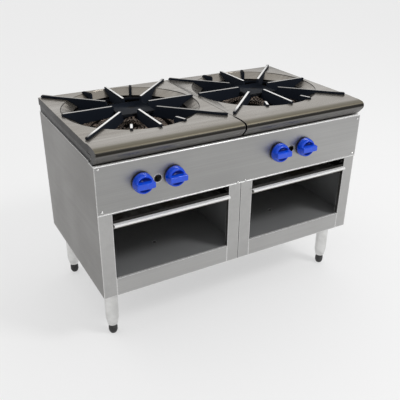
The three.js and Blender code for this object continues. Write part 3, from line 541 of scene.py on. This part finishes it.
# Soot and painted shade: this near black darkens the burner ports and the floor collars.
soot_and_shade, network, shader = new_finish("soot_and_shade")
clouds = use_group(network, "blotches", Scale=80.0)
colour = network.mix(clouds["Mask"], rgb(0.006, 0.005, 0.0045), rgb(0.016, 0.013, 0.011))
set_surface(network, shader, colour, network.between(clouds["Mask"], 0.8, 0.95))

# %% [markdown]
# The knobs are moulded in glossy cobalt plastic. They are painted darker in the
# hollow and near the panel than on the rim and the bar, a painted shade. In the
# knob's own space Y is zero at the panel and falls towards the front.

# %% Blue plastic
hollow_radius = 22 * mm
hollow_bottom, hollow_top = -14 * mm, -22 * mm
skirt_back, skirt_front = -1 * mm, -6 * mm
blue_plastic, network, shader = new_finish(
    "blue plastic", Specular_IOR_Level=0.1, Coat_Weight=1.0, Coat_Roughness=0.06
)
scuffs = use_group(network, "blotches", Scale=120.0, Low=0.55, High=0.75)
place = network.parts(network.place())
# Painted shade: darker in the hollow and near the panel.
inside = network.math("LESS_THAN", network.distance(place["X"], place["Z"]), hollow_radius)
deep = network.times(network.remap(place["Y"], hollow_top, hollow_bottom), inside)
painted_shade = network.math("MAXIMUM", deep, network.remap(place["Y"], skirt_front, skirt_back))
plain_tone = network.mix(scuffs["Mask"], rgb(0.001, 0.075, 0.76), rgb(0.004, 0.105, 0.88))
colour = network.mix(painted_shade, plain_tone, rgb(0.0008, 0.018, 0.22))
set_surface(network, shader, colour, network.between(scuffs["Mask"], 0.12, 0.28))


# %% The small finishes
def plain_finish(name, dark, light, roughness, metallic):
    """A finish with soft blotches between two tones and a faint cast skin."""
    material, network, shader = new_finish(name, metallic=metallic)
    cast = use_group(network, "cast skin", Scale=1.0)
    clouds = use_group(network, "blotches", Scale=40.0)
    colour = network.mix(clouds["Mask"], rgb(*dark), rgb(*light))
    rough = network.between(clouds["Mask"], roughness, roughness + 0.1)
    set_surface(network, shader, colour, rough, cast["Height"], 0.05 * mm)
    return material


black_pipe = plain_finish("black pipe", (0.03, 0.03, 0.032), (0.06, 0.06, 0.064), 0.5, 0.3)
die_casting = plain_finish("die casting", (0.42, 0.42, 0.42), (0.55, 0.55, 0.55), 0.45, 1.0)
brass = plain_finish("brass", (0.6, 0.42, 0.17), (0.72, 0.53, 0.24), 0.28, 1.0)
foot_plastic = plain_finish("foot plastic", (0.02, 0.02, 0.02), (0.05, 0.05, 0.05), 0.5, 0.0)

finish_of_slot = {
    "brushed_stainless": front_steel,
    "polished_steel": bright_steel,
    "galvanised_steel": dull_steel,
    "ground_iron": ground_iron,
    "black_iron": black_iron,
    "burner_iron": burner_iron,
    "black_pipe": black_pipe,
    "cast_aluminium": die_casting,
    "brass": brass,
    "blue_plastic": blue_plastic,
    "foot_plastic": foot_plastic,
}
print("finishes", len(bpy.data.materials), "groups", len(bpy.data.node_groups))

# %% [markdown]
# Most CAD solids already have the right shape. They keep it, and get the finish
# of their slot and softened edges: a Decimate modifier joins flat triangles into
# whole faces, and a Bevel modifier rounds what is left.

# %% Dressing the CAD solids
edge_rounds = {
    "brushed_stainless": 0.6 * mm,
    "polished_steel": 0.4 * mm,
    "galvanised_steel": 0.3 * mm,
    "ground_iron": 1.2 * mm,
    "black_iron": 1.7 * mm,
}
sharp_angle = math.radians(32)


def round_edges(piece, width):
    """Rounds the sharp edges of a piece with a Bevel modifier."""
    bevel = piece.modifiers.new("round edges", "BEVEL")
    bevel.width = width
    bevel.segments = 2
    bevel.limit_method = "ANGLE"
    bevel.angle_limit = sharp_angle
    bevel.use_clamp_overlap = False
    bevel.harden_normals = True


def dress(node, material, edge_round=0.0):
    piece = nodes[node]
    piece.data.materials.clear()
    piece.data.materials.append(material)
    if edge_round:
        merge = piece.modifiers.new("flat faces", "DECIMATE")
        merge.decimate_type = "DISSOLVE"
        merge.angle_limit = math.radians(0.5)
        round_edges(piece, edge_round)
    return piece


def smooth_by_angle(piece, angle=sharp_angle):
    """Shades a mesh smooth but for its sharp edges."""
    for polygon in piece.data.polygons:
        polygon.use_smooth = True
    piece.data.set_sharp_from_angle(angle=angle)


for entry in frame["record"]["subparts"]:
    slot_name = entry["material_slot"]
    material = finish_of_slot[slot_name]
    if "side_panel" in entry["node"]:
        material = side_steel
    if "drip_tray" in entry["node"]:
        material = tray_finish
    dress(entry["node"], material, edge_rounds.get(slot_name, 0.0))
print("dressed", len(nodes), "CAD solids")

# %% [markdown]
# Round pieces are turned on a lathe: a profile of radius and height points goes
# round an axis, as rings of vertices with faces between them.


# %% A lathe
def circle(made, radius, height, steps):
    """Vertices on a circle about Z, or a single one on the axis."""
    turn = [2 * math.pi * i / steps for i in range(steps)] if radius > 1e-7 else [0.0]
    return [made.verts.new((radius * math.cos(a), radius * math.sin(a), height)) for a in turn]


def wall(made, low, high):
    """The faces between two rings of vertices."""
    faces = []
    for i in range(max(len(low), len(high))):
        places = ((low, i), (low, i + 1), (high, i + 1), (high, i))
        corners = [ring[k % len(ring)] for ring, k in places]
        faces.append(made.faces.new(list(dict.fromkeys(corners))))
    return faces


def lathe(profile, steps=48, hoop=False):
    """A turned mesh from (radius, height) points, axis to axis, or round a hoop's outline."""
    made = bmesh.new()
    rings = [circle(made, radius, height, steps) for radius, height in profile]
    for low, high in zip(rings, rings[1:] + (rings[:1] if hoop else [])):
        wall(made, low, high)
    bmesh.ops.recalc_face_normals(made, faces=made.faces)
    return made


def rounded(profile, radius, steps=3):
    """The profile with its inner corners rounded."""
    points = [Vector(p) for p in profile]
    result = [tuple(points[0])]
    for before, corner, after in zip(points, points[1:], points[2:]):
        back, ahead = before - corner, after - corner
        reach = min(radius, back.length * 0.45, ahead.length * 0.45)
        start, end = corner + back.normalized() * reach, corner + ahead.normalized() * reach
        for i in range(steps + 1):
            share = i / steps
            point = start * (1 - share) ** 2 + corner * 2 * share * (1 - share) + end * share**2
            result.append(tuple(point))
    result.append(tuple(points[-1]))
    return result


# %% [markdown]
# A turned mesh still has to become an object, ride on its body and get its slot.
# The helpers below do that, and turn a mesh, move it or put several into one.


# %% From mesh to piece
def turned(degrees, axis="Z"):
    return Matrix.Rotation(math.radians(degrees), 4, axis)


def as_mesh(made, name):
    """The bmesh as a mesh, freed."""
    mesh = bpy.data.meshes.new(name)
    made.to_mesh(mesh)
    made.free()
    return mesh


def moved(made, across, back, up=0.0):
    """The bmesh moved by a distance along each axis."""
    bmesh.ops.translate(made, vec=(across, back, up), verts=made.verts)
    return made


def gathered(parts):
    """One bmesh that holds all the parts."""
    whole = bmesh.new()
    for part in parts:
        mesh = as_mesh(part, "part")
        whole.from_mesh(mesh)
        bpy.data.meshes.remove(mesh)
    return whole


def placed(mesh, name, material, body, angle=sharp_angle, at=(0, 0, 0)):
    """A named piece with this mesh, riding on a body."""
    piece = new_object(name, mesh)
    piece.location = at
    if not mesh.materials:
        mesh.materials.append(material)
    smooth_by_angle(piece, angle)
    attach(piece, body)
    return piece


def finished(made, name, material, body):
    """Turns a bmesh into a named piece."""
    return placed(as_mesh(made, name), name, material, body)


# %% [markdown]
# Legs are steel tubes on a plate, drawn in at the foot, and bullet feet screw
# into them. The CAD legs have few facets, so finer ones are turned here.

# %% Legs and feet
leg_low, leg_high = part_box("leg_front_left")
plate_radius = (leg_high.x - leg_low.x) / 2
leg_bottom, leg_top = leg_low.z, leg_high.z
tube_radius = 20.5 * mm
taper_end = 15.5 * mm
taper_height = 26 * mm
plate_thickness = 3 * mm
plate_bottom = leg_top - plate_thickness
leg_profile = rounded([
    (0, leg_bottom + 1 * mm), (taper_end - 4 * mm, leg_bottom), (taper_end, leg_bottom),
    (tube_radius, leg_bottom + taper_height), (tube_radius, plate_bottom - 3 * mm),
    (tube_radius + 3 * mm, plate_bottom), (plate_radius, plate_bottom), (plate_radius, leg_top),
    (0, leg_top),
], 1.5 * mm)
foot_radius = 14 * mm
foot_face = 9 * mm
foot_top = leg_bottom - 0.3 * mm
foot_profile = rounded([
    (0, 0), (foot_face, 0), (foot_radius - 2 * mm, 5 * mm), (foot_radius, 11 * mm),
    (foot_radius, 22 * mm), (foot_radius - 2 * mm, foot_top), (0, foot_top),
], 1.5 * mm)

for side in sides:
    for row in ("front", "back"):
        centre = middle(f"leg_{row}_{side}")
        for kind, profile, material, slot_name, body in (
            ("leg", leg_profile, bright_steel, "polished_steel", "cabinet"),
            ("foot", foot_profile, foot_plastic, "foot_plastic", f"{row}_{side}_foot"),
        ):
            made = moved(lathe(profile), centre.x, centre.y)
            piece = finished(made, f"{kind}_{row}_{side}_turned", material, body)
            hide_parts(f"{kind}_{row}_{side}")
print("legs and feet turned")

# %% [markdown]
# Round each well the real plate dips: a shallow dish slopes from a fine step
# down to a smaller hole, and the arms of the grate lie on its slope. The CAD
# plate has a plain well with a ledge. Here each plate is copied, a turned ring is
# joined to it, and a fine round cutter with the shape of the dish is taken away.
# Smooth shading does the rest for the nose.


# %% Joining and cutting
def evaluated(mesh, add_modifiers):
    """The mesh after the modifiers that add_modifiers puts on its holder."""
    holder = new_object("holder", mesh)
    add_modifiers(holder)
    depsgraph = bpy.context.evaluated_depsgraph_get()
    result = bpy.data.meshes.new_from_object(holder.evaluated_get(depsgraph))
    bpy.data.objects.remove(holder)
    return result


def combined(mesh, tool_made, operation):
    """The mesh after a union or a difference with a bmesh."""
    tool = new_object("tool", as_mesh(tool_made, "tool"))

    def add_boolean(holder):
        boolean = holder.modifiers.new(operation.lower(), "BOOLEAN")
        boolean.operation = operation
        boolean.solver = "EXACT"
        boolean.object = tool

    result = evaluated(mesh, add_boolean)
    bpy.data.objects.remove(tool)
    return result


# %% The top plates
plate_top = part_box("left_top_casting")[1].z
rim_radius = 213 * mm
dish_step = 2.4 * mm
dish_depth = 19 * mm
well_steps = 160
dish_bottom = plate_top - dish_depth
hole_bottom = plate_top - 41 * mm
ring_inside, ring_outside = hole_radius - 4 * mm, rim_radius + 3 * mm
ring_up = plate_top - 0.5 * mm
cut_bottom, cut_top = plate_top - 60 * mm, plate_top + 5 * mm
dish_ring = [
    (ring_inside, hole_bottom), (ring_outside, hole_bottom),
    (ring_outside, ring_up), (ring_inside, ring_up),
]
dish_cut = [
    (0, cut_bottom), (hole_radius, cut_bottom), (hole_radius, dish_bottom),
    (rim_radius - 1 * mm, plate_top - dish_step), (rim_radius, plate_top), (rim_radius, cut_top),
    (0, cut_top),
]


def welded(mesh, angle=None):
    """A bmesh with doubled vertices joined, and flat triangles too if an angle is given."""
    made = bmesh.new()
    made.from_mesh(mesh)
    bmesh.ops.remove_doubles(made, verts=made.verts, dist=0.01 * mm)
    if angle:
        bmesh.ops.dissolve_limit(made, angle_limit=angle, verts=made.verts, edges=made.edges)
    return made


for side, well in wells.items():
    plate = as_mesh(welded(nodes[f"{side}_top_casting"].data), "plate")
    for profile, hoop, operation in ((dish_ring, True, "UNION"), (dish_cut, False, "DIFFERENCE")):
        tool = moved(lathe(profile, steps=well_steps, hoop=hoop), well.x, well.y)
        plate = combined(plate, tool, operation)
    made = welded(plate, math.radians(0.5))
    open_edges = sum(not edge.is_manifold for edge in made.edges)
    print(side, "plate open edges", open_edges, "litres", round(made.calc_volume() * 1000, 3))
    piece = finished(made, f"{side}_top_plate", ground_iron, f"{side}_top")
    round_edges(piece, 1.0 * mm)
    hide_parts(f"{side}_top_casting")
    print(piece.name, len(piece.data.polygons), "faces")

# %% [markdown]
# A knob is a bell with a hollowed front and a grip bar across it, fused by a
# voxel remesh, which rounds the line where they meet. One mesh serves all four.

# %% The knob's mesh
knob_low, knob_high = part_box("left_inner_knob")
knob_radius = (knob_high.x - knob_low.x) / 2
knob_back, knob_front = knob_high.y, knob_low.y
knob_reach = knob_back - knob_front
bar_foot = 5 * mm

bell_top = 20.5 * mm
bell_profile = rounded([
    (0, 0), (knob_radius - 0.8 * mm, 0), (knob_radius, 0.8 * mm), (knob_radius, 4 * mm),
    (knob_radius - 0.8 * mm, 11 * mm), (knob_radius - 2.4 * mm, 17 * mm),
    (knob_radius - 5 * mm, bell_top), (knob_radius - 7.5 * mm, bell_top),
    (knob_radius - 11 * mm, 16 * mm), (knob_radius - 17 * mm, 13 * mm), (0, 12 * mm),
], 1.6 * mm)
knob_made = lathe(bell_profile, steps=64)


def grip_outline(length, width, corner, steps=5):
    """Corner points of a bar with rounded ends, anticlockwise."""
    points = []
    for sign_x, sign_y, start in ((1, 1, 0), (-1, 1, 90), (-1, -1, 180), (1, -1, 270)):
        for i in range(steps + 1):
            angle = math.radians(start + 90 * i / steps)
            points.append((
                sign_x * (length / 2 - corner) + corner * math.cos(angle),
                sign_y * (width / 2 - corner) + corner * math.sin(angle),
            ))
    return points


def add_bar(made, levels):
    """A bar through outlines at heights, closed at both ends: (length, width, corner, height)."""
    rings = []
    for length, width, corner, height in levels:
        outline = grip_outline(length, width, corner)
        rings.append([made.verts.new((x, y, height)) for x, y in outline])
    for low, high in zip(rings, rings[1:]):
        wall(made, low, high)
    made.faces.new(list(reversed(rings[0])))
    made.faces.new(rings[-1])


grip_length, grip_width, grip_corner = 57 * mm, 20 * mm, 4 * mm
grip_draft = 2.5 * mm
top_length, top_width = grip_length - grip_draft, grip_width - grip_draft
add_bar(knob_made, [
    (grip_length, grip_width, grip_corner, bar_foot),
    (top_length, top_width, grip_corner, knob_reach - 1.6 * mm),
    (top_length - 1 * mm, top_width - 1 * mm, grip_corner, knob_reach - 0.5 * mm),
    (top_length - 3.2 * mm, top_width - 3.2 * mm, grip_corner - 1.5 * mm, knob_reach),
])
bmesh.ops.recalc_face_normals(knob_made, faces=knob_made.faces)


def fuse_and_relax(holder):
    fuse = holder.modifiers.new("fuse", "REMESH")
    fuse.mode = "VOXEL"
    fuse.voxel_size = 0.5 * mm
    relax = holder.modifiers.new("relax", "SMOOTH")
    relax.iterations = 2
    relax.factor = 0.5


knob_fused = evaluated(as_mesh(knob_made, "knob"), fuse_and_relax)
knob_fused.transform(turned(90, "X"))
knob_fused.name = "knob"
print("knob faces", len(knob_fused.polygons))

# %% [markdown]
# Each knob sits on its own stem, and rides on the body that turns it.

# %% Placing the knobs
for side in sides:
    for ring in burner_places:
        node = f"{side}_{ring}_knob"
        centre = middle(node)
        knob = placed(
            knob_fused, f"{node}_moulded", blue_plastic, f"{side}_{ring}_control",
            angle=math.radians(180), at=(centre.x, knob_back, centre.z),
        )
        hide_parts(node)

# %% [markdown]
# A ring burner's top has rows of small ports, and they are what the eye sees
# through the grate. Each ring is a grid of small faces, and every other face is
# inset and pushed in, like the squares of a draughts board, which leaves
# staggered ports with lands between. The pushed faces carry the soot.

# %% A ported ring
ring_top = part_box("left_outer_burner")[1].z
ring_height = 30 * mm
ring_base = ring_top - ring_height
ring_half = 17 * mm
shoulder = 8 * mm
port_pitch = 6.8 * mm
port_depth = 4 * mm
port_land = 0.25 * mm


def ported_ring(radius):
    """A burner ring about the origin, its top and shoulders full of ports."""
    steps = 2 * round(math.pi * radius / port_pitch)
    flat = ring_half - shoulder
    slope = flat + shoulder / 2
    low_shoulder, mid_shoulder = ring_top - shoulder, ring_top - shoulder / 2
    across = [
        (-ring_half, ring_base), (-ring_half, low_shoulder), (-slope, mid_shoulder), (-flat, ring_top),
        (0, ring_top),
        (flat, ring_top), (slope, mid_shoulder), (ring_half, low_shoulder), (ring_half, ring_base),
    ]
    made = bmesh.new()
    rings = [circle(made, radius + offset, z, steps) for offset, z in across]
    ports = []
    for row, (low, high) in enumerate(zip(rings, rings[1:] + rings[:1])):
        faces = wall(made, low, high)
        if 1 <= row <= len(across) - 3:
            ports += [face for i, face in enumerate(faces) if (i + row) % 2]
    bmesh.ops.recalc_face_normals(made, faces=made.faces)
    bmesh.ops.inset_individual(made, faces=ports, thickness=port_land, depth=0)
    for face in ports:
        face.material_index = 1
    bmesh.ops.inset_individual(made, faces=ports, thickness=0.15 * mm, depth=-port_depth)
    return made


# %% [markdown]
# Below its ring each burner has a mixing tube: gas and air enter at the flared
# mouth near the front, and a neck leads them up. Four bridges join the two outer
# rings into one casting. Lugs behind rest on the angle across the cabinet.
# Places are measured from the well's centre.

# %% Tubes, necks, bridges and lugs
tube_height = middle("left_inner_valve_stem").z
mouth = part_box("left_inner_burner")[0].y - middle("left_spider_grate").y


def mixing_tube(across, end):
    """A hollow-mouthed tube along Y at an offset, its end given from the well's centre."""
    length = end - mouth
    neck_top = ring_base + 4 * mm - tube_height
    tube = lathe(rounded([
        (0, 60 * mm), (12.5 * mm, 60 * mm), (12.5 * mm, 38 * mm), (19 * mm, 10 * mm), (19 * mm, 0),
        (22 * mm, 0), (22 * mm, 10 * mm), (16 * mm, 38 * mm), (16 * mm, length), (0, length),
    ], 1.5 * mm), steps=40)
    tube.transform(Matrix.Translation((across, mouth, tube_height)) @ turned(-90, "X"))
    neck = lathe(rounded([
        (0, 0), (16 * mm, 0), (16 * mm, 6 * mm), (14 * mm, neck_top), (0, neck_top),
    ], 3 * mm), steps=40)
    neck.transform(Matrix.Translation((across, end - 16 * mm, tube_height)))
    return [tube, neck]


def block(low, high, turn=0.0):
    """A box between two corners in millimetres, turned about the well in degrees."""
    made = bmesh.new()
    bmesh.ops.create_cube(made, size=1.0)
    low, high = Vector(low) * mm, Vector(high) * mm
    bmesh.ops.scale(made, vec=high - low, verts=made.verts)
    bmesh.ops.translate(made, vec=(low + high) / 2, verts=made.verts)
    bmesh.ops.bevel(made, geom=made.edges, offset=1.5 * mm, segments=2, affect="EDGES", profile=0.6)
    made.transform(turned(turn))
    return made


base_mm = ring_base / mm
inner_radii, outer_radii = (44,), (96, 148)
inner_tube, outer_tube = (0, -28 * mm), (-98 * mm, -94.9 * mm)
lug_end = 136
inner_extras = [
    block((-10, 44, base_mm - 8), (10, lug_end, base_mm - 0.3)),
    block((-10, 27, base_mm - 8), (10, 52, base_mm + 3)),
]
bridge_low, bridge_high = (outer_radii[0], -11, base_mm), (outer_radii[1], 11, base_mm + 14)
outer_extras = [block(bridge_low, bridge_high, turn) for turn in diagonals]
outer_extras += [block((x - 10, 106, base_mm - 8), (x + 10, lug_end, base_mm + 3)) for x in (-74, 74)]

burner_meshes = {}
for ring, radii, tube, extras in (
    ("inner", inner_radii, inner_tube, inner_extras),
    ("outer", outer_radii, outer_tube, outer_extras),
):
    rings = [ported_ring(radius * mm) for radius in radii]
    burner_meshes[ring] = as_mesh(gathered(rings + mixing_tube(*tube) + extras), f"{ring}_burner")
    burner_meshes[ring].materials.append(burner_iron)
    burner_meshes[ring].materials.append(soot_and_shade)
    print(ring, "burner", len(burner_meshes[ring].polygons), "faces")

# %% Placing the burners
for side, well in wells.items():
    for ring in burner_places:
        burner = placed(
            burner_meshes[ring], f"{side}_{ring}_burner_ported", burner_iron, "cabinet",
            at=(well.x, well.y, 0),
        )
        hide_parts(f"{side}_{ring}_burner")

# %% [markdown]
# A spider grate has a square hub and eight arms. An arm's tip lies on the plate,
# its underside follows the slope of the dish, and a heel hangs inside the hole,
# so the grate can't slide. A hoop under the arms carries four short fingers, two
# in front and two behind. Arms and fingers are cut from one outline each, seen
# from the side, as a pattern maker would saw them.

# %% Outlines of arms and fingers
seat = 0.4 * mm
arm_width = 9 * mm
hub_half = 57 * mm
hub_top = grate_top - 13 * mm
hub_bottom = hub_top - 10 * mm
straight_reach = 218 * mm
finger_top = grate_top - 2 * mm
heel_bottom = plate_top - 32 * mm
hole_clear = hole_radius - 1.6 * mm
rim_clear = rim_radius + 0.8 * mm


def quarter_round(r, z, radius, start, end, steps=4):
    """Points on an arc about (r, z), from one angle in degrees to another."""
    angles = [math.radians(start + (end - start) * i / steps) for i in range(steps + 1)]
    return [(r + radius * math.cos(a), z + radius * math.sin(a)) for a in angles]


underside = [
    (hole_clear, heel_bottom),
    (hole_clear, dish_bottom - 1 * mm),
    (hole_radius + 0.6 * mm, dish_bottom + 0.9 * mm),
    (rim_radius - 1.2 * mm, plate_top - dish_step + 0.5 * mm),
    (rim_clear, plate_top + seat),
]


def arm_outline(start, reach):
    tip, root = 6 * mm, hub_top - 3 * mm
    return [
        (0, hub_bottom - 7 * mm), (hole_clear - 14 * mm, heel_bottom), *underside,
        (reach - 2 * mm, plate_top + seat), *quarter_round(reach - tip, grate_top - tip, tip, 0, 90),
        (start + 4 * mm, grate_top), (start, grate_top - 4 * mm), (start, root), (0, root),
    ]


def finger_outline():
    inner, outer, curl = hole_radius - 2 * mm, 222 * mm, 7 * mm
    return [
        (hole_clear - 9 * mm, heel_bottom), *underside, (outer - 1 * mm, plate_top + seat),
        *quarter_round(outer - curl, finger_top - curl, curl, 20, 90),
        *quarter_round(inner + curl, finger_top - curl, curl, 90, 180),
        (inner, heel_bottom + 9 * mm), (hole_clear - 9 * mm, heel_bottom + 9 * mm),
    ]


def slab(outline, width, turn):
    """An outline of (radius, height) points, thickened and turned about Z in degrees."""
    made = bmesh.new()
    faces = [[made.verts.new((r, y, z)) for r, z in outline] for y in (-width / 2, width / 2)]
    for near, far in zip(zip(*faces), zip(*(face[1:] + face[:1] for face in faces))):
        made.faces.new((near[0], near[1], far[1], far[0]))
    made.faces.new(faces[0])
    made.faces.new(faces[1])
    bmesh.ops.recalc_face_normals(made, faces=made.faces)
    made.transform(turned(turn))
    return made


# %% The grates
longer = math.sqrt(2)
hub_mm = hub_half / mm
hoop_inside, hoop_outside = hole_clear - 9 * mm, hole_clear - 0.5 * mm
hoop_bottom, hoop_top = heel_bottom + 0.5 * mm, heel_bottom + 8.5 * mm
spider_parts = [
    block((-hub_mm, -hub_mm, hub_bottom / mm), (hub_mm, hub_mm, hub_top / mm)),
    lathe([
        (hoop_inside, hoop_bottom), (hoop_outside, hoop_bottom),
        (hoop_outside, hoop_top), (hoop_inside, hoop_top),
    ], steps=96, hoop=True),
]
for outline, turns in (
    (arm_outline(hub_half, straight_reach), (0, 90, 180, 270)),
    (arm_outline(hub_half * longer, straight_reach * longer), diagonals),
    (finger_outline(), (67.5, 112.5, 247.5, 292.5)),
):
    spider_parts += [slab(outline, arm_width, turn) for turn in turns]
spider_made = gathered(spider_parts)
for side, well in wells.items():
    made = moved(spider_made.copy(), well.x, well.y)
    grate = finished(made, f"{side}_spider", black_iron, f"{side}_grate")
    round_edges(grate, 1.6 * mm)
    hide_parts(f"{side}_spider_grate")
    print(grate.name, len(grate.data.polygons), "faces")
spider_made.free()

# %% [markdown]
# Pan head screws hold the control panel to the stiles. They are small, but their
# domed heads catch the light. Each place is in millimetres from the panel's left
# end and from the ground.

# %% Panel screws
screw_radius = 4.2 * mm
screw_height = 2.6 * mm
panel_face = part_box("control_panel")[0].y + 1 * mm
panel_left = cad_low.x
screw_profile = rounded([
    (0, -0.5 * mm), (screw_radius, -0.5 * mm), (screw_radius, 0.8 * mm),
    (screw_radius * 0.6, screw_height), (0, screw_height),
], 1.0 * mm)
screw_places = [(11, 589), (13, 463), (443, 457), (471, 457), (901, 463), (903, 584)]
for number, (across, up) in enumerate(screw_places):
    head = lathe(screw_profile, steps=32)
    facing_front = Matrix.Rotation(math.radians(90), 3, "X")
    bmesh.ops.rotate(head, cent=(0, 0, 0), matrix=facing_front, verts=head.verts)
    moved(head, panel_left + across * mm, panel_face, up * mm)
    finished(head, f"panel_screw_{number + 1}", bright_steel, "cabinet")
print(len(screw_places), "screws")

# %% [markdown]
# The hole in each storage floor is punched down, so its edge is a short collar.
# The collar is near black, a painted shade for the dark below the floor. Without
# it one would see the bright ground through the hole.

# %% Collars under the floor holes
floor_top = 231 * mm
floor_hole_y = cabinet_front + 145 * mm
collar_bottom = floor_top - 11 * mm
collar_inside, collar_outside = 6.6 * mm, 7.6 * mm
for side in sides:
    collar = lathe([
        (collar_inside, floor_top - 1.0 * mm), (collar_inside, collar_bottom),
        (collar_outside, collar_bottom), (collar_outside, floor_top - 1.6 * mm),
    ], steps=32, hoop=True)
    moved(collar, middle(f"{side}_floor_pan").x, floor_hole_y)
    finished(collar, f"{side}_floor_collar", soot_and_shade, "cabinet")
    print(side, "collar")

# %% [markdown]
# The floor is plain, pale and far wider than the view. To the eye and in mirrors
# it is lifted half way to white, and it keeps its shadow. One large soft lamp
# stands high in front on the right, where the photograph's shadows point to.
# Polished metal shows its surroundings more than its lamps, so the world is
# bright behind the range, where the arms mirror it, and dimmer low in front.

# %% Floor and lamp
floor_half = 20
lifted_share = 0.5
floor_made = bmesh.new()
bmesh.ops.create_grid(floor_made, x_segments=1, y_segments=1, size=floor_half)
floor = new_object("floor", as_mesh(floor_made, "floor"))
floor_finish, network, shader = new_finish(
    "floor", Roughness=0.9, Base_Color=rgb(0.8, 0.8, 0.8), Specular_IOR_Level=0.1
)
white = network.add("ShaderNodeEmission", {"Color": rgb(1.0, 1.0, 1.0), "Strength": 1.0})
rays = network.add("ShaderNodeLightPath").outputs
mirrored = network.math("MAXIMUM", rays["Is Glossy Ray"], rays["Is Transmission Ray"])
seen = network.times(network.math("MAXIMUM", rays["Is Camera Ray"], mirrored), lifted_share)
lifted = network.add("ShaderNodeMixShader", {0: seen, 1: shader.outputs[0], 2: white.outputs[0]})
network.link(lifted.outputs[0], network.tree.nodes["Material Output"].inputs["Surface"])
floor.data.materials.append(floor_finish)

lamp_place, lamp_target = Vector((1.75, -2.3, 3.3)), Vector((0, 0, 0.4))
lamp_size, lamp_watts = 0.9, 56
lamp_data = bpy.data.lights.new("key lamp", "AREA")
lamp_data.shape = "RECTANGLE"
lamp_data.size = lamp_data.size_y = lamp_size
lamp_data.energy = lamp_watts
lamp = new_object("key lamp", lamp_data)
lamp.location = lamp_place
lamp.rotation_euler = (lamp_target - lamp_place).to_track_quat("-Z", "Y").to_euler()
print("lamp", lamp_watts, "W")

# %% The world
world = bpy.data.worlds.new("studio")
world.use_nodes = True
network = Network(world.node_tree)
background = world.node_tree.nodes["Background"]
direction = network.parts(network.add("ShaderNodeTexCoord").outputs["Generated"])
behind = network.remap(direction["Y"], -0.2, 0.5)
front_light = network.remap(direction["Z"], 0.3, 0.85, 0.28, 0.85)
back_light = network.remap(direction["Z"], 0.0, 0.3, 0.5, 1.05)
rest_of_it = network.times(front_light, network.math("SUBTRACT", 1.0, behind))
strength = network.math("ADD", rest_of_it, network.times(back_light, behind))
network.link(strength, background.inputs["Strength"])
background.inputs["Color"].default_value = rgb(1.0, 1.0, 1.0)
bpy.context.scene.world = world
bpy.context.scene.view_settings.view_transform = "Standard"
